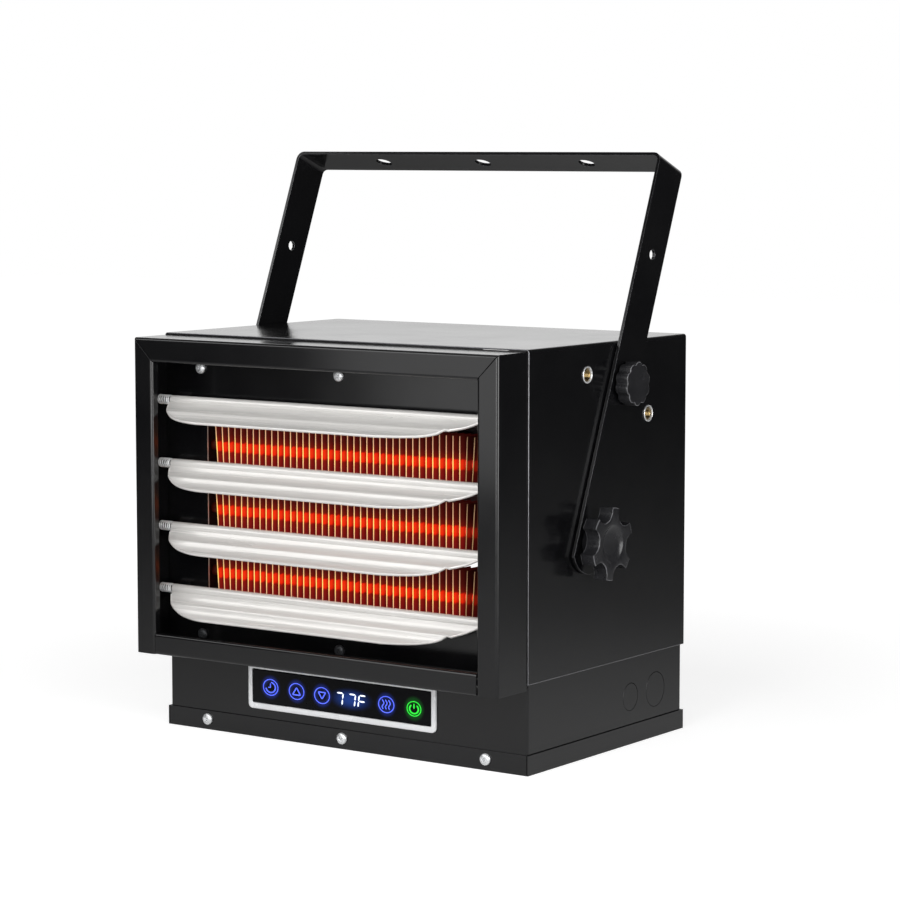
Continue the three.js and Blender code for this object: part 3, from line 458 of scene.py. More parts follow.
def louverRise(reach):
    # Two shallow hollows, whose meeting line is a rounded ridge: rise - dip * |sin(2 pi share)|, with the
    # corners of the absolute value rounded off.
    start, stop = louver["hollows"]
    share = (reach - start) / (stop - start)
    hollow = np.sqrt(np.sin(2 * np.pi * share) ** 2 + 0.012) - 0.11
    return louver["rise"] - louver["dip"] * hollow


def louverBlade():
    # Rings along x. Each runs out along the top from inside the bead, round the folded edge and back below.
    hem, half, root = louver["hem"], louver["sheet"] / 2, 1.2
    across = np.linspace(0, 1, 34)
    turns = np.radians(np.linspace(100, 260, 10))
    rings = []
    for x, reach in louverEdge():
        tip = max(reach - hem, 1.6)
        out = root + across * (tip - root)
        height = np.where(out > 3, louverRise(out), louver["rise"])
        centre = louverRise(tip) if tip > 3 else louver["rise"]
        fold = np.stack([-tip + hem * np.cos(turns), centre + hem * np.sin(turns)], -1)
        upper, lower = np.stack([-out, height + half], -1), np.stack([-out, height - half], -1)[::-1]
        ring = np.vstack([upper, fold, lower])
        rings.append(np.column_stack([np.full(len(ring), x), ring]))
    return skin(np.array(rings), capped=True)


def louverBead():  # the rolled edge: a tube, open at both ends, with the pin pushed into it
    left, right, outer = louver["left"], louver["right"], louver["bead"]
    inner = outer - louver["beadWall"]
    return turned([[0, left + 9], [inner, left + 9], [inner, left + 0.3], [inner + 0.3, left], [outer - 0.3, left],
                   [outer, left + 0.3], [outer, right - 0.3], [outer - 0.3, right], [inner + 0.3, right],
                   [inner, right - 0.3], [inner, right - 9], [0, right - 9]], 32)


def louverPins():
    end, radius, depth = louver["pinEnd"], louver["pin"], louver["pinDepth"]
    return [turned([[0, start], [radius - 0.3, start], [radius, start + 0.3], [radius, stop - 0.3], [0, stop]], 20)
            for start, stop in ((-end, louver["left"] + depth), (louver["right"] - depth, end))]


def louverSpring():
    # A compression spring wound about X: at share t of its length it has turned by 2 pi * curls * t, and its
    # first and last curls lie a little closer together, by t - 0.2 * sin(2 pi t) / (2 pi).
    wire, start, end = louver["springWire"], louver["springFrom"], louver["springTo"]
    t = np.linspace(0, 1, louver["curls"] * 28 + 1)
    along = start + wire + (end - start - 2 * wire) * (t - 0.2 * np.sin(2 * np.pi * t) / (2 * np.pi))
    angle = 2 * np.pi * louver["curls"] * t
    outward = np.stack([0 * angle, np.cos(angle), np.sin(angle)], -1)
    centres = outward * louver["springRadius"] + np.stack([along, 0 * along, 0 * along], -1)
    onward = np.gradient(centres, axis=0)
    onward /= np.linalg.norm(onward, axis=1, keepdims=True)
    return wireSurface(centres, outward, np.cross(onward, outward), wire)


blade, pins, spring = gather(louverBlade(), louverBead()), gather(*louverPins()), louverSpring()
for i, (height, tilt) in enumerate(zip(louver["heights"], louver["tilts"]), 1):
    at, body = (0, louver["pivotY"], height), f"louver_{i}"
    addPiece(f"{body}_blade", placed(blade, at, tilt=tilt), louverSilver, body, [body])
    addPiece(f"{body}_pins", placed(pins, at, tilt=tilt), blackZincAndPaintedShade, body)
    addPiece(f"louver_spring_{i}_wire", placed(spring, at), springWireWithPaintedReflection, "cabinet", [f"louver_spring_{i}"])
print("louvers ready")

# Heating elements.

element = {
    "rows": {"bottom": 129.5, "middle": 181.0, "top": 232.5}, "y": -98.5, "tube": 4.2, "end": 158.0,
    "fins": 41, "first": -127.8, "pitch": 6.31, "thickness": 0.65, "depth": 24.0, "height": 44.0,
    "collarHalf": 1.4, "collarRise": 0.7, "period": 51.5, "coolFrom": 111.0, "coolTo": 119.0,
    "lean": {0: 1.5, 1: 0.9, 2: 0.5, 39: -0.8, 40: -1.4},  # the end fins, bent in handling
}


def heatPhase(tree, coords, wander):
    # Where a point's height lies between one row's tube, 0, and the next row's, 1. Wander shifts it by a noise.
    parts, drift = addNode(tree, "SeparateXYZ", {0: coords}).outputs, noise(tree, coords, 4, 4.0, Roughness=0.65)
    period = element["period"]
    rows = calc(tree, "MULTIPLY_ADD", parts["Z"], 1000 / period, 10 - element["rows"]["bottom"] / period)
    shift = calc(tree, "MULTIPLY_ADD", drift, wander, -wander / 2)
    return parts, drift, calc(tree, "FRACT", calc(tree, "ADD", rows, shift))


def cooling(tree, parts, hot, cool):  # the coil stops short of the right end, so the fins there stay darker
    return remap(tree, parts["X"], element["coolFrom"] * mm, element["coolTo"] * mm, hot, cool)


def hotFinFinish():
    # Steel fins at work: the sides glow dull red, with an orange-red band beside the tube that darker scale breaks
    # up. They are browner above the band, redder below it, and darker deeper in, which is painted shade between the
    # fins.
    material, tree, shader, coords = startMaterial("hotFinSteel", Metallic=0.3, Roughness=0.6)
    parts, drift, phase = heatPhase(tree, coords, 0.07)
    glow = ramp(tree, phase, [(0.0, "#FF3410"), (0.06, "#FF2808"), (0.085, "#7A140C"), (0.2, "#520F0B"),
                              (0.45, "#3C0B08"), (0.58, "#640E12"), (0.905, "#8A120E"), (0.935, "#FF2608"),
                              (1.0, "#FF3410")])
    # Less glow deeper in between the fins: painted shade.
    deep = remap(tree, parts["Y"], -0.107, -0.1035, 1.0, 0.5)
    feed(tree, shader, {"Base Color": blend(tree, drift, "#200C09", "#38160E"), "Emission Color": glow,
                        "Emission Strength": calc(tree, "MULTIPLY", cooling(tree, parts, 0.84, 0.2), deep)})
    return material


def hotEdgeHighlightFinish():
    # The fins' front edges: bright sheared metal, yellow beside the tube and a paler brown towards the tips. Their
    # glow is heat, and its being brighter and yellower than on the sides is a painted highlight.
    material, tree, shader, coords = startMaterial("hotFinEdgePaintedHighlight", Metallic=0.3, Roughness=0.4)
    parts, drift, phase = heatPhase(tree, coords, 0.03)
    glow = ramp(tree, phase, [(0.0, "#FFE660"), (0.1, "#F8CE6E"), (0.2, "#D2A27C"), (0.45, "#A67E68"),
                              (0.58, "#B08A74"), (0.8, "#DCAE82"), (0.9, "#F8D070"), (1.0, "#FFE660")])
    feed(tree, shader, {"Base Color": blend(tree, drift, "#A88256", "#D8B98A"), "Emission Color": glow,
                        "Emission Strength": cooling(tree, parts, 0.85, 0.12)})
    return material


def hotTubeFinish():
    # The sheathed tube at full heat: orange-red with cooler scale in blotches. Its ends, outside the fins, hold
    # no coil and stay dark.
    material, tree, shader, coords = startMaterial("glowingSheath", Roughness=0.6)
    scale = noise(tree, coords, 4, 4.0)
    glow = ramp(tree, scale, [(0.0, "#841006"), (0.42, "#C81C08"), (0.6, "#F02E0E"), (1.0, "#FF5018")])
    fromMiddle = calc(tree, "ABSOLUTE", addNode(tree, "SeparateXYZ", {0: coords}).outputs["X"])
    feed(tree, shader, {"Base Color": blend(tree, scale, "#3A1A12", "#5C2A1C"), "Emission Color": glow,
                        "Emission Strength": remap(tree, fromMiddle, 0.120, 0.129, 1.1, 0.02)})
    return material


def finSurfaces(row):
    # Upright plates in a row, each a flat ring carried from bottom to top. Its front edge is a separate narrow
    # strip, so that it can have its own finish.
    halfT, halfD, halfH = element["thickness"] / 2, element["depth"] / 2, element["height"] / 2
    levels = np.array([-halfH, -halfH + 0.4, 0, halfH - 0.4, halfH])
    front, back = element["y"] - halfD, element["y"] + halfD
    side = front + 0.6
    plate = [(-halfT, side), (halfT, side), (halfT, back), (-halfT, back)]
    nose = [(-halfT, side), (-halfT, front + 0.2), (-halfT * 0.4, front), (halfT * 0.4, front),
            (halfT, front + 0.2), (halfT, side)]
    plates, edges = [], []
    for i in range(element["fins"]):
        x = element["first"] + i * element["pitch"] - element["lean"].get(i, 0) * levels / halfH
        for outline, inset, surfaces in ((plate, 0, plates), (nose, 0.2, edges)):
            grid = np.zeros((5, len(outline), 3))
            grid[:, :, :2] = outline
            grid[:, :, 0] += x[:, None]
            grid[[0, -1], :, 1] += inset
            grid[:, :, 2] = (element["rows"][row] + levels)[:, None]
            surfaces.append(skin(grid, capped=True))
    return gather(*plates), gather(*edges)


def elementTube(row):
    # A sheathed tube that swells at each fin's collar, with a terminal pin at each end.
    at = (0, element["y"], element["rows"][row])
    collars = element["first"] + element["pitch"] * np.arange(element["fins"])
    tube, end, half = element["tube"], element["end"], element["collarHalf"]
    stations = np.sort(np.concatenate([collars + side * (half + step) for side in (-1, 1) for step in (-0.2, 0.2)]))
    swell = element["collarRise"] * (np.abs(stations[:, None] - collars[None]).min(1) < half)
    profile = np.vstack([[0, -end], [tube - 0.4, -end], [tube, -end + 0.4], np.column_stack([tube + swell, stations]),
                         [tube, end - 0.4], [tube - 0.4, end], [0, end]])
    pins = [turned([[0, side * (end - 1)], [1.6, side * (end - 1)], [1.6, side * (end + 7.6)],
                    [1.2, side * (end + 8)], [0, side * (end + 8)]], 16, "x", at) for side in (-1, 1)]
    return turned(profile, 20, "x", at), gather(*pins)


finFinish, highlightEdgeFinish, tubeFinish = hotFinFinish(), hotEdgeHighlightFinish(), hotTubeFinish()
for row in element["rows"]:
    plates, edges = finSurfaces(row)
    tube, terminals = elementTube(row)
    for part, surface, finish in (("fins", plates, finFinish), ("fin_edges", edges, highlightEdgeFinish),
                                  ("tube", tube, tubeFinish), ("terminals", terminals, zincPlate)):
        addPiece(f"element_{row}_{part}", surface, finish, "cabinet",
                 [f"heating_element_{row}"] if part == "fins" else [])
print("elements ready")

# Screws.

screw = {"headRadius": 4.7, "headHeight": 2.7, "rimHeight": 0.75, "recess": 2.0, "slot": 0.5, "depth": 1.2,
         "face": -114.7, "rows": {"base_screw": ([-135.8, 1.8, 139.2], 8.6),
                                  "baffle_screw_lower": ([-140, 0, 140], 78.7),
                                  "baffle_screw_upper": ([-140, 0, 140], 296)}}


def screwHead(turn):
    # A pan head as a polar grid: a dome that falls to the rim, less a crossed recess that narrows as it goes down.
    radius, low = screw["headRadius"], screw["rimHeight"]
    radii = np.concatenate([np.linspace(0, 2.6, 22), np.linspace(2.85, radius, 9)])
    x, z = np.outer(radii, np.cos(fullTurn(64))), np.outer(radii, np.sin(fullTurn(64)))
    dome = low + (screw["headHeight"] - low) * np.sqrt(np.clip(1 - (radii / radius) ** 2.6, 0, 1))
    spread, length = np.minimum(np.abs(x), np.abs(z)), np.maximum(np.abs(x), np.abs(z))
    walls = eased((screw["slot"] - spread) / 0.22 + 0.5) * eased((screw["recess"] - length) / 0.9)
    c, s = math.cos(turn), math.sin(turn)
    top = np.stack([x * c - z * s, screw["depth"] * walls - dome[:, None], x * s + z * c], -1)
    lower = [top[-1:] * [scale, 0, scale] + [0, depth, 0] for scale, depth in
             ((1, -0.5), (1, -0.12), (0.965, 0), (0.457, 0), (0.457, 6.6), (0.3, 7), (0, 7))]
    return skin(np.vstack([top, *lower]))


screwPlaces = [(f"{rowName}_{name}", x, z) for rowName, (xs, z) in screw["rows"].items()
               for name, x in zip(("left", "middle", "right"), xs)]
for i, (nodeName, x, z) in enumerate(screwPlaces):
    head = placed(screwHead(0.6 + 1.3 * i), (x, screw["face"], z))
    # The lower baffle screws take the near-black finish as painted shade; they sit in the hood's shadow.
    addPiece(nodeName + "_head", head, blackZincAndPaintedShade if "lower" in nodeName else zincPlate, "cabinet",
             [nodeName], sharpAngle=50)
print("screws ready")

# Threaded inserts in the cabinet's sides.

pivot = {"y": -34.0, "z": 170.2, "lean": 22.0, "lockRadius": 129.3}
insert = {"face": 178.2, "depth": 13.0, "crest": 3.3, "root": 4.1, "threadPitch": 1.25}


def lockPoint(degrees):  # a place on the arc where the bracket can be locked, as y and z
    turn = math.radians(degrees)
    return pivot["y"] + pivot["lockRadius"] * math.sin(turn), pivot["z"] + pivot["lockRadius"] * math.cos(turn)


def insertSurfaces():
    # A rolled flange that stands off the sheet, and inside it, below a narrow gap, a sleeve whose bore is threaded.
    # Both are turned about X, with the flange's foot just above the face.
    face, root, end = insert["face"], insert["root"], insert["face"] - insert["depth"]
    roll = np.radians(np.linspace(0, 180, 9))
    rim = np.stack([6.15 + 0.5 * np.cos(roll), face + 0.3 + 0.5 * np.sin(roll)], -1)
    flange = [[5.5, face - 1.4], [5.6, face - 0.05], [6.65, face - 0.05], *rim, [5.45, face - 0.6],
              [5.2, face - 1.4], [5.5, face - 1.4]]
    steps = np.arange(0, insert["depth"] - 1, insert["threadPitch"] / 2)
    thread = [[insert["crest"] if i % 2 else root, face - 0.2 - step] for i, step in enumerate(steps)]
    sleeve = [[5.4, end], [5.4, face - 1.2], [4.9, face - 0.8], [4.7, face - 0.3], [4.4, face - 0.15],
              *thread, [root, end], [5.4, end]]
    return turned(flange, 36), turned(sleeve, 36)


spots = {"pivot_insert": (pivot["y"], pivot["z"]), "angle_insert_upright": lockPoint(0),
         "angle_insert_middle": lockPoint(pivot["lean"]), "angle_insert_back": lockPoint(2 * pivot["lean"])}
flange, sleeve = insertSurfaces()
for sideName, side in (("right", 1), ("left", -1)):
    for spot, (y, z) in spots.items():
        name = f"{spot}_{sideName}"
        addPiece(f"{name}_flange", placed(flange, (0, y, z), side), zincPlate, "cabinet")
        addPiece(f"{name}_sleeve", placed(sleeve, (0, y, z), side), yellowZinc, "cabinet", [name])
print("inserts ready")

# Knobs.

knob = {"base": 182.3, "starFace": 202.3, "starBack": 190.3, "starTurn": 21.0, "lockFace": 194.6, "lockBack": 183.6,
        "tipRadius": 28.25, "hollowRadius": 10.3, "hollowAt": 29.3, "cornerBlend": 0.35, "steps": 360,
        "starDish": 17.2, "lockDish": 14.6}


def starRadius(angles):
    # Distance to the edge of a six-lobed star: tips on one circle, parted by round hollows, with a small blend
    # where they meet. A ray at an angle from a hollow's middle line meets the hollow at far*cos - root.
    tip, corner = knob["tipRadius"], knob["cornerBlend"]
    fromHollow = np.abs((angles + np.pi / 6) % (np.pi / 3) - np.pi / 6) - np.pi / 6
    hollow, far = knob["hollowRadius"], knob["hollowAt"]
    root = hollow ** 2 - (far * np.sin(fromHollow)) ** 2
    inner = np.where(root > 0, far * np.cos(fromHollow) - np.sqrt(np.clip(root, 0, None)), 2 * tip)
    return tip - corner * np.log1p(np.exp(-np.clip(inner - tip, -9, 9) / corner))


def fluteRadius(angles):  # a round grip with ten hollows: 17.3 - 1.7 * sin(5 angle) ** 4
    return 17.3 - 1.7 * np.sin(5 * angles) ** 4


def knobSurface(edgeRadius, loops):
    # Rings round the X axis. Each loop is (round radius, how much round, inset of the edge outline, x).
    angles = fullTurn(knob["steps"])
    rings = []
    for roundRadius, toRound, inset, x in loops:
        radius = (edgeRadius(angles) - inset) * (1 - toRound) + roundRadius * toRound
        rings.append(np.stack([np.full(len(angles), x), radius * np.cos(angles), radius * np.sin(angles)], -1))
    return skin(np.array(rings))


def starKnob():
    face, rear, base = knob["starFace"], knob["starBack"], knob["base"]
    edge = [(0, 0, 0.5, rear), (0, 0, 0.15, rear + 0.15), (0, 0, 0, rear + 0.5), (0, 0, 0, face - 0.6),
            (0, 0, 0.08, face - 0.28), (0, 0, 0.26, face - 0.07), (0, 0, 0.6, face)]
    dish = [(16.4, 0.55, 0.6, face), (15.2, 1, 0, face), (14.7, 1, 0, face - 0.15), (14.1, 1, 0, face - 0.6),
            (12.4, 1, 0, face - 1.7), (10.6, 1, 0, face - 2.3), (8.4, 1, 0, face - 2.6), (0, 1, 0, face - 2.7)]
    hub = [(0, 1, 0, base), (12.5, 1, 0, base), (13, 1, 0, base + 0.5), (16.3, 1, 0, rear - 0.6), (16.6, 1, 0, rear)]
    stud = turned([[0, 166], [3.2, 166], [3.8, 166.6], [3.8, base + 0.5], [0, base + 0.5]], 24)
    return knobSurface(starRadius, hub + edge + dish), stud


def lockKnob():
    face, rear, base = knob["lockFace"], knob["lockBack"], knob["base"]
    loops = [(0, 1, 0, base), (8.6, 1, 0, base), (9, 1, 0, base + 0.4), (9.2, 1, 0, rear), (0, 0, 1.0, rear),
             (0, 0, 0.25, rear + 0.4), (0, 0, 0, rear + 1), (0, 0, 0, face - 0.8), (0, 0, 0.1, face - 0.35),
             (0, 0, 0.32, face - 0.1), (0, 0, 0.65, face), (14.2, 0.7, 0.8, face), (13, 1, 0, face), (0, 1, 0, face)]
    stud = turned([[0, 179.8], [3.5, 179.8], [3.8, 180.1], [3.8, base + 0.3], [0, base + 0.3]], 24)
    return knobSurface(fluteRadius, loops), stud


def markRimHighlights(piece, places, centre, inner):
    # Faces that slant between side and face, near these places along X and further than inner from the knob's
    # centre, take the second finish, the lighter grey that paints a highlight along the rims.
    faces = piece.data.polygons
    centres, normals = np.empty(len(faces) * 3, np.float32), np.empty(len(faces) * 3, np.float32)
    faces.foreach_get("center", centres)
    faces.foreach_get("normal", normals)
    x, y, z = centres.reshape(-1, 3).T / mm
    lean = np.abs(normals[::3])
    near = np.abs(np.abs(x)[:, None] - np.array(places)[None]).min(1) < 0.5
    outer = np.hypot(y - centre[0], z - centre[1]) > inner
    faces.foreach_set("material_index", (near & outer & (lean > 0.1) & (lean < 0.985)).astype(np.int32))


knobs = (("pivot_knob", starKnob(), knob["starTurn"], (pivot["y"], pivot["z"]), ("starFace", "starBack"), "starDish"),
         ("lock_knob", lockKnob(), -pivot["lean"], lockPoint(pivot["lean"]), ("lockFace",), "lockDish"))
for sideName, side in (("right", 1), ("left", -1)):
    for kind, (grip, stud), turn, centre, rims, dish in knobs:
        name, place = f"{kind}_{sideName}", ((0, *centre), side, turn * side)
        piece = addPiece(f"{name}_grip", placed(grip, *place), [nylon, nylonRimHighlight], name, [name])
        markRimHighlights(piece, [knob[rim] for rim in rims], centre, knob[dish])
        addPiece(f"{name}_stud", placed(stud, *place), zincPlate, name)
print("knobs ready")

# Display.

display = {
    "front": -115.6, "back": -113.4, "halfWidth": 92.7, "low": 23.1, "high": 60.1, "corner": 4.0,
    "glassHalf": 88.7, "glassLow": 27.9, "glassHigh": 55.8, "glassFront": -115.1, "glassBack": -113.1,
    "signs": {"timer": (-69.8, 41.9), "up": (-43.4, 41.4), "down": (-17.8, 40.9), "heat": (45.5, 40.7),
              "power": (72.2, 40.3)},
    "ringOuter": 7.35, "ringWall": 0.8, "powerRing": 6.6, "signWide": 1.07, "signHigh": 0.92, "lift": 0.06,
    "digitsAt": (-3.7, 8.5, 18.5), "digitsLow": 35.5, "digitsHigh": 45.0, "digitsMiddle": (11.0, 40.8),
    "haloReach": 4.2, "digitsReach": 10.5, "glow": "#141F5A", "glowDigits": "#1B3A86", "glowPower": "#0B3E12",
}


def halo(tree, coords, x, z, inner, reach):
    # 1 at a distance of inner from a place on the glass and 0 at reach further off, on either side.
    centre = [value * mm for value in (x, display["glassFront"], z)]
    away = addNode(tree, "VectorMath", {0: coords, 1: centre}, operation="DISTANCE").outputs["Value"]
    gap = calc(tree, "ABSOLUTE", calc(tree, "SUBTRACT", away, inner * mm))
    return remap(tree, gap, 0, reach * mm, 1, 0, interpolation_type="SMOOTHERSTEP")


def blackGlassFinish():
    # Smoked touch glass, printed black from behind: a hard thin gloss over near black, and round each lit sign a
    # faint halo, where the diode's light spreads inside the glass.
    material, tree, shader, coords = startMaterial("smokedTouchGlass", Roughness=0.1)
    glow = "#000000"
    for name, (x, z) in display["signs"].items():
        near = halo(tree, coords, x, z, display["ringOuter"] - 0.6, display["haloReach"])
        glow = blend(tree, near, glow, display["glowPower" if name == "power" else "glow"])
    squeeze, (x, z) = 0.42, display["digitsMiddle"]  # the digits' halo is wider than high
    flatter = addNode(tree, "Mapping", {"Vector": coords, "Scale": (squeeze, 1, 1),
                                        "Location": (x * mm * (1 - squeeze), 0, 0)}).outputs[0]
    near = halo(tree, flatter, x, z, 0, display["digitsReach"])
    feed(tree, shader, {"Base Color": blend(tree, noise(tree, coords, 7, 4.0), "#060608", "#0D0E11"),
                        "Emission Color": blend(tree, near, glow, display["glowDigits"]),
                        "Emission Strength": 1.0, "Specular IOR Level": 0.08})
    return material


def litSign(name, core, rim, strength):
    # Light from a diode through a printed window: the colour drifts a little across the sign, as diffusers do.
    material, tree, shader, coords = startMaterial(name, Roughness=0.3)
    tones = blend(tree, noise(tree, coords, 5, 1.0), core, rim)
    feed(tree, shader, {"Base Color": tones, "Emission Color": tones, "Emission Strength": strength})
    return material


def roundedLoop(halfX, halfZ, radius):  # a rounded rectangle of x and z, starting at the lower right corner
    corners = [(halfX - radius, -halfZ + radius, -90), (halfX - radius, halfZ - radius, 0),
               (-halfX + radius, halfZ - radius, 90), (-halfX + radius, -halfZ + radius, 180)]
    return np.vstack([arcPath(x, z, radius, start, start + 90, 6) for x, z, start in corners])


def arcPath(x, z, radius, start, stop, steps):
    turns = np.radians(np.linspace(start, stop, steps))
    return np.stack([x + radius * np.cos(turns), z + radius * np.sin(turns)], -1)


def atDepth(path, y, z=0.0):  # a path of x and z as points at a depth, raised by z
    return np.column_stack([path[:, 0], np.full(len(path), y), path[:, 1] + z])


def middleAndHalf(low, high):
    return (low + high) / 2, (high - low) / 2


def bezelSurface():
    # A rounded rectangle whose section goes up the outside, over the rim with soft corners and down to the glass.
    front, back, corner, innerX = (display[key] for key in ("front", "back", "corner", "glassHalf"))
    z, halfZ = middleAndHalf(display["low"], display["high"])
    innerZ, innerHalf = middleAndHalf(display["glassLow"], display["glassHigh"])
    rings = [atDepth(roundedLoop(display["halfWidth"] - inset, halfZ - inset, corner - inset), y, z)
             for inset, y in ((0, back), (0, front + 0.9), (0.12, front + 0.45), (0.45, front + 0.12), (0.9, front))]
    rings += [atDepth(roundedLoop(innerX - inset, innerHalf - inset, 0.8 - inset * 0.4), y, innerZ)
              for inset, y in ((-0.8, front), (-0.3, front + 0.1), (0, front + 0.4), (0, front + 2.2),
                               (-1.2, front + 2.2))]
    collar = roundedLoop(innerX + 1.4, innerHalf + 1.4, 1.3)
    rings += [atDepth(collar, y, innerZ) for y in (back + 4.2, back)]
    return skin(np.array(rings), closedU=True)


def glassSurface():
    front, halfX = display["glassFront"], display["glassHalf"] - 0.3
    z, innerHalf = middleAndHalf(display["glassLow"], display["glassHigh"])
    halfZ = innerHalf - 0.3
    rings = [atDepth(roundedLoop(halfX - inset, halfZ - inset, 0.7 - inset * 0.5), y, z) for inset, y in
             ((0, display["glassBack"]), (0, front + 0.25), (0.08, front + 0.08), (0.25, front))]
    return skin(np.array(rings), capped=True)


def strokeSurface(path, width, closed=False):
    # A flat band of even width along a path of x and z, raised a hair off the glass, with round ends.
    path = np.asarray(path, float)
    onward = np.roll(path, -1, 0) - np.roll(path, 1, 0) if closed else np.gradient(path, axis=0)
    onward /= np.linalg.norm(onward, axis=1, keepdims=True)
    half = np.full((len(path), 1), width / 2)
    if not closed:
        half[[0, -1]] *= 0.25
        half[[1, -2]] *= 0.8
    side = np.stack([-onward[:, 1], onward[:, 0]], -1) * half
    front = display["glassFront"] - display["lift"]
    back = front + 0.05
    corners = ((path + side, front), (path - side, front), (path - side, back), (path + side, back))
    grid = np.stack([atDepth(points, y) for points, y in corners], 1)
    return skin(grid, closedU=closed, capped=not closed)


def straightPath(*points):  # straight runs with enough points for round ends
    points = np.array(points, float)
    return np.vstack([*[np.linspace(a, b, 8)[:-1] for a, b in zip(points[:-1], points[1:])], points[-1:]])


def trianglePath(z, size, upward):  # a triangle with slightly rounded corners
    corners = np.radians(90 * upward + 120 * np.arange(3))
    points = np.stack([size * np.cos(corners), z + size * np.sin(corners)], -1)
    path = []
    for k, corner in enumerate(points):
        before, after = points[k - 1] - corner, points[(k + 1) % 3] - corner
        path += [corner + before * 0.1, corner + before * 0.03 + after * 0.03, corner + after * 0.1,
                 corner + after * 0.5]
    return np.array(path)


def signStrokes():  # what each sign shows inside its ring, drawn round the ring's centre
    rise = np.linspace(-1, 1, 28)
    wave = np.stack([0.75 * np.sin(rise * np.pi * 1.25 + 0.5), 4.2 * rise], -1)
    return {
        "timer": [strokeSurface(arcPath(0, 0, 4.5, 86, -172, 40), 1.2),
                  strokeSurface(straightPath((-0.2, 3.6), (-0.2, -0.1), (-2.4, -0.1)), 0.9)],
        "up": [strokeSurface(trianglePath(-0.9, 4.3, 1), 1.15, closed=True)],
        "down": [strokeSurface(trianglePath(0.9, 4.0, -1), 1.1, closed=True)],
        "heat": [strokeSurface(wave + [x, 0], 1.0) for x in (-2.9, 0, 2.9)],
        "power": [strokeSurface(arcPath(0, -0.2, 3.9, 125, 415, 40), 1.35),
                  strokeSurface(straightPath((0, 4.4), (0, -0.2)), 1.35)],
    }


def digitSurfaces():
    # Two sevens and an F from slanted segments, each a bar with pointed ends.
    low, high = display["digitsLow"], display["digitsHigh"]
    middle, width, bar, slant, pause = (low + high) / 2, 6.4, 1.2, 0.13, 0.35
    seven, letter = ("top", "upperRight", "lowerRight"), ("top", "upperLeft", "lowerLeft", "middle")
    bands = []
    for strokes, x0 in zip((seven, seven, letter), display["digitsAt"]):
        x1, upper, lower = x0 + width, (high - pause, middle + pause), (middle - pause, low + pause)
        ends = {"top": ((x0 + pause, x1 - pause), (high, high)), "upperRight": ((x1, x1), upper),
                "middle": ((x0 + pause, x1 - pause), (middle, middle)), "lowerRight": ((x1, x1), lower),
                "upperLeft": ((x0, x0), upper), "lowerLeft": ((x0, x0), lower)}
        for stroke in strokes:
            x, z = np.array(ends[stroke])
            bands.append(strokeSurface(straightPath(*np.stack([x + slant * (z - middle), z], -1)), bar))
    return bands


addPiece("display_bezel_rim", bezelSurface(), silverAbs, "cabinet", ["display_bezel"])
addPiece("display_glass_panel", glassSurface(), blackGlassFinish(), "cabinet", ["display_glass"])
signBlue = litSign("blueDiodeSign", "#4458E4", "#5A70FA", 0.85)
signWhite = litSign("whiteDiodeSign", "#DDEBFF", "#F6FAFF", 1.1)
signGreen = litSign("greenDiodeSign", "#10BE26", "#26DE38", 0.82)
for name, strokes in signStrokes().items():  # printed slightly wider than high, as the photograph shows them
    radius = display["powerRing" if name == "power" else "ringOuter"] - display["ringWall"] / 2
    ring = strokeSurface(arcPath(0, 0, radius, 0, 352.5, 48), display["ringWall"], closed=True)
    points, quads = gather(ring, *strokes)
    x, z = display["signs"][name]
    drawn = points * [display["signWide"], 1, display["signHigh"]] + [x, 0, z]
    addPiece(f"sign_{name}", (drawn, quads), signGreen if name == "power" else signBlue, "cabinet")
addPiece("sign_digits", gather(*digitSurfaces()), signWhite, "cabinet")
print("display ready")

# Fan, motor and guard.

fan = {"z": 197.0, "y": 84.0, "radius": 101.0, "root": 18.0, "blades": 5, "chord": 58.0, "camber": 6.0,
       "thickness": 1.6}
guard = {"rings": (25, 42.6, 60.2, 77.8, 95.4, 113), "ringPlane": 118.3, "spokePlane": 116.4, "wire": 1.2,
         "spokeEnd": 120, "foot": 123}


def fanBlade(turn):
    # A thin cambered arc carried outwards from the hub. It widens, twists flatter and sweeps as it goes, and each
    # section lies on a cylinder about the shaft, so the tip runs true in its ring.
    share = np.linspace(0, 1, 26)
    across = np.linspace(-0.5, 0.5, 19)
    corner = 1 - 0.16 * eased((share - 0.86) / 0.14) ** 2
    width = (0.5 + 0.62 * np.sin(np.minimum(share * 1.25, 1) * np.pi / 2) - 0.12 * share ** 4) * corner
    pitch = np.radians(36 - 12 * share)
    rise = fan["camber"] * (1 - 4 * across ** 2)
    half = fan["thickness"] / 2 * np.sqrt(np.clip(1 - (2 * across) ** 6, 0, 1))
    ringAcross = np.concatenate([across, across[::-1]])
    ringRise = np.concatenate([rise - half, (rise + half)[::-1]])
    x = ringAcross[None] * fan["chord"] * width[:, None] + 9 * share[:, None] ** 2
    y = ringRise[None] * width[:, None]
    flat = x * np.cos(pitch)[:, None] - y * np.sin(pitch)[:, None]
    deep = x * np.sin(pitch)[:, None] + y * np.cos(pitch)[:, None]
    radius = fan["root"] + share[:, None] * (fan["radius"] - fan["root"])
    up = np.sqrt(np.maximum(radius ** 2 - flat ** 2, 1))
    c, s = math.cos(turn), math.sin(turn)
    return skin(np.stack([flat * c + up * s, deep, up * c - flat * s], -1), capped=True)


def fanSurface():
    hub = turned([[0, -12], [19.4, -12], [20, -11.7], [21.7, -10.3], [22, -9.8], [22, 9.8], [21.8, 10.2],
                  [18.4, 11.8], [17.8, 12], [9, 12], [8.6, 11.6], [8.4, 10.6], [0, 10.6]], 48, "y")
    return gather(hub, *[fanBlade(turn) for turn in fullTurn(fan["blades"])])


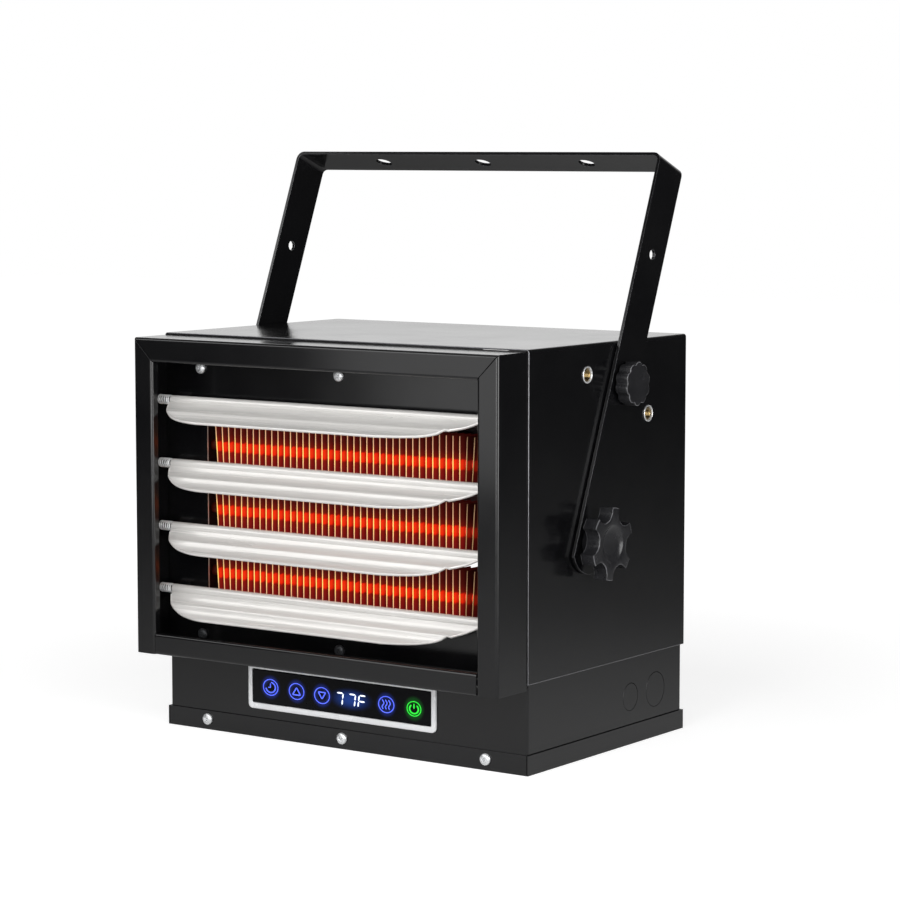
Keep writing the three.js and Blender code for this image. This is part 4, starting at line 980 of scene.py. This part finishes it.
def motorSurface():  # the shell's end bells meet at two rolled seams, and the middle is a ribbed band
    ribs = [[42.0 - 0.5 * (i % 2), 36 + i * 1.2] for i in range(13)]
    return turned([[0, 20], [15, 20], [16, 20.6], [18, 25], [34, 25.8], [36, 26], [40.5, 29.4], [42, 32],
                   [42.6, 33], [42.6, 34.6], [42, 35], *ribs, [42, 52.4], [42.6, 52.8], [42.6, 54], [42, 54.6],
                   [40.4, 57.6], [36, 60], [18, 61], [16, 63.6], [15.4, 64], [4.4, 64], [4.4, 52], [0, 52]], 48, "y")


def shaftSurface():
    return turned([[0, 54], [3.8, 54], [4, 54.3], [4, 96.3], [6.8, 96.3], [7, 96.6], [7, 99.6], [6.7, 100],
                   [3.5, 100.4], [3.3, 101], [0, 101]], 32, "y")


def guardSurface():
    # Wire rings, carried by two crossed spokes whose flattened feet are screwed to the panel.
    angles, end = fullTurn(96), guard["spokeEnd"]
    outward, backward = np.stack([np.cos(angles), 0 * angles, np.sin(angles)], -1), np.array([[0, 1, 0]])
    surfaces = [wireSurface(outward * radius + [0, guard["ringPlane"], 0], outward, backward, guard["wire"], True)
                for radius in guard["rings"]]
    foot = [[0, 114.9], [5.2, 114.9], [5.5, 115.1], [5.5, 117], [5.1, 117.4], [3.0, 117.6], [2.6, 117.2], [0, 117.0]]
    for turn in np.radians((45, 135)):
        c, s = math.cos(turn), math.sin(turn)
        centres = np.linspace(-end, end, 25)[:, None] * [c, 0, s] + [0, guard["spokePlane"], 0]
        surfaces.append(wireSurface(centres, np.array([[-s, 0, c]]), backward, guard["wire"]))
        surfaces += [turned(foot, 28, "y", (at * c, 0, at * s)) for at in (-guard["foot"], guard["foot"])]
    return gather(*surfaces)


for name, surface, y, finish, body, slotName, replaced in (
        ("fan_blade_pressed", fanSurface(), fan["y"], millAluminium, "fan_rotor", "fan_aluminium", "fan_blade"),
        ("motor_shaft_turned", shaftSurface(), 0, zincPlate, "fan_rotor", "zinc", "motor_shaft"),
        ("fan_motor_shell", motorSurface(), 0, motorEnamel, "cabinet", "motor_paint", "fan_motor"),
        ("rear_guard_wires", guardSurface(), 0, powderCoat, "cabinet", "black_paint", "rear_guard")):
    addPiece(name, placed(surface, (0, y, fan["z"])), finish, body, [replaced])
print("fan ready")

# CAD solids that stay as they are, inside.

for nodeName, finish in {"thermal_cutout": phenolic, "temperature_sensor": nylon, "control_board": boardResist,
                         "power_relay": phenolic, "terminal_block": phenolic, "ground_stud": yellowZinc}.items():
    nodes[nodeName].data.materials.clear()
    nodes[nodeName].data.materials.append(finish)
print("inner parts ready")

# Studio.

studio = {
    "cameraAt": (1.3882, -1.9329, 0.4759), "azimuth": 35.19, "elevation": 5.95, "lens": 117.5, "sensor": 36.0,
    "floor": "#BCBCBC", "floorHalf": 6.0, "floorAt": -0.0002, "floorLift": 0.74, "floorMirrored": 0.38,
    "ambient": 0.04, "backdrop": (0.62, 0.92), "backdropMirrored": 0.74,
    "lamps": {  # where each softbox is, what it faces, its size and its level
        "leftSoftbox": ((-0.06, -0.95, 0.56), (-0.06, -0.15, 0.46), (1.12, 0.92), 1.45),
        "middleSoftbox": ((0.29, -1.45, 0.525), (0.176, -0.154, 0.5), (0.45, 1.0), 5.2),
        "rightSoftbox": ((1.45, -0.42, 0.525), (0.176, -0.154, 0.5), (1.1, 1.0), 5.0),
        "highStrip": ((0.9, -1.25, 1.06), (0.176, -0.05, 0.3), (1.0, 0.12), 14.0),
        "upperSoftbox": ((-0.95, -1.05, 1.0), (-0.1, -0.13, 0.2), (0.7, 0.55), 2.6),
        "topSoftbox": ((-0.2, 0.0, 1.7), (0.0, 0.0, 0.1), (1.4, 1.4), 0.35),
        "rimSoftbox": ((-1.0, 1.3, 0.85), (0.0, 0.0, 0.3), (1.4, 0.8), 0.5),
    },
}


def aim(item, at, away):  # stands at a place with its back towards away
    item.location = at
    item.rotation_euler = away.to_track_quat("Z", "Y").to_euler()


def addCamera():
    camera = bpy.data.cameras.new("photoCamera")
    camera.lens = studio["lens"]
    camera.sensor_width = studio["sensor"]
    camera.clip_end = 60
    eye = addObject("photoCamera", camera)
    azimuth, elevation = math.radians(studio["azimuth"]), math.radians(studio["elevation"])
    aim(eye, studio["cameraAt"], Vector((math.sin(azimuth) * math.cos(elevation),
                                         -math.cos(azimuth) * math.cos(elevation), math.sin(elevation))))
    bpy.context.scene.camera = eye


def seenDirectly(tree, mirrored):
    # 1 for camera rays. Mirrored and refracted rays get the share that is given, so metal and glass show the
    # white surroundings too.
    path = addNode(tree, "LightPath", {}).outputs
    bounced = calc(tree, "MAXIMUM", path["Is Glossy Ray"], path["Is Transmission Ray"])
    return calc(tree, "MAXIMUM", path["Is Camera Ray"], calc(tree, "MULTIPLY", bounced, mirrored))


def addFloor():
    # A pale sheet. Near the object it keeps the shadow; further out it is plain white.
    half, z = studio["floorHalf"], studio["floorAt"]
    mesh = bpy.data.meshes.new("floor")
    mesh.from_pydata([(-half, -half, z), (half, -half, z), (half, half, z), (-half, half, z)], [], [(0, 1, 2, 3)])
    floor = addObject("floor", mesh)
    material, tree, shader, coords = startMaterial("whitePaperSheet", Roughness=0.95)
    away = addNode(tree, "VectorMath", {0: coords}, operation="LENGTH").outputs["Value"]
    lift = remap(tree, away, 0.35, 1.1, studio["floorLift"], 1.0)
    seen = seenDirectly(tree, remap(tree, away, 0.25, 0.8, studio["floorMirrored"], 0.0))
    feed(tree, shader, {"Base Color": linear(studio["floor"]), "Specular IOR Level": 0.0,
                        "Emission Color": (1, 1, 1, 1), "Emission Strength": calc(tree, "MULTIPLY", seen, lift)})
    mesh.materials.append(material)


def addLamp(name, at, to, size, level):  # a softbox whose level is the brightness that a mirror would show
    lamp = bpy.data.lights.new(name, "AREA")
    lamp.shape = "RECTANGLE"
    lamp.size, lamp.size_y = size
    lamp.energy = level * math.pi * lamp.size * lamp.size_y
    aim(addObject(name, lamp), at, Vector(at) - Vector(to))


def setWorld():
    # Grey room light, with a white backdrop behind the object as the photograph's camera sees it.
    world = bpy.data.worlds.new("studioWorld")
    bpy.context.scene.world = world
    world.use_nodes = True
    tree = world.node_tree
    azimuth = math.radians(studio["azimuth"])
    facing = addNode(tree, "VectorMath", {0: addNode(tree, "TexCoord", {}).outputs["Generated"],
                                          1: (-math.sin(azimuth), math.cos(azimuth), 0)}, operation="DOT_PRODUCT")
    backdrop = remap(tree, facing.outputs["Value"], *studio["backdrop"], 0, studio["backdropMirrored"],
                     interpolation_type="SMOOTHSTEP")
    feed(tree, tree.nodes["Background"], {
        "Color": (1, 1, 1, 1), "Strength": remap(tree, seenDirectly(tree, backdrop), 0, 1, studio["ambient"], 1.0)})


addCamera()
addFloor()
setWorld()
for lampName, lampSettings in studio["lamps"].items():
    addLamp(lampName, *lampSettings)
bpy.context.scene.view_settings.view_transform = "Standard"
print("studio ready")
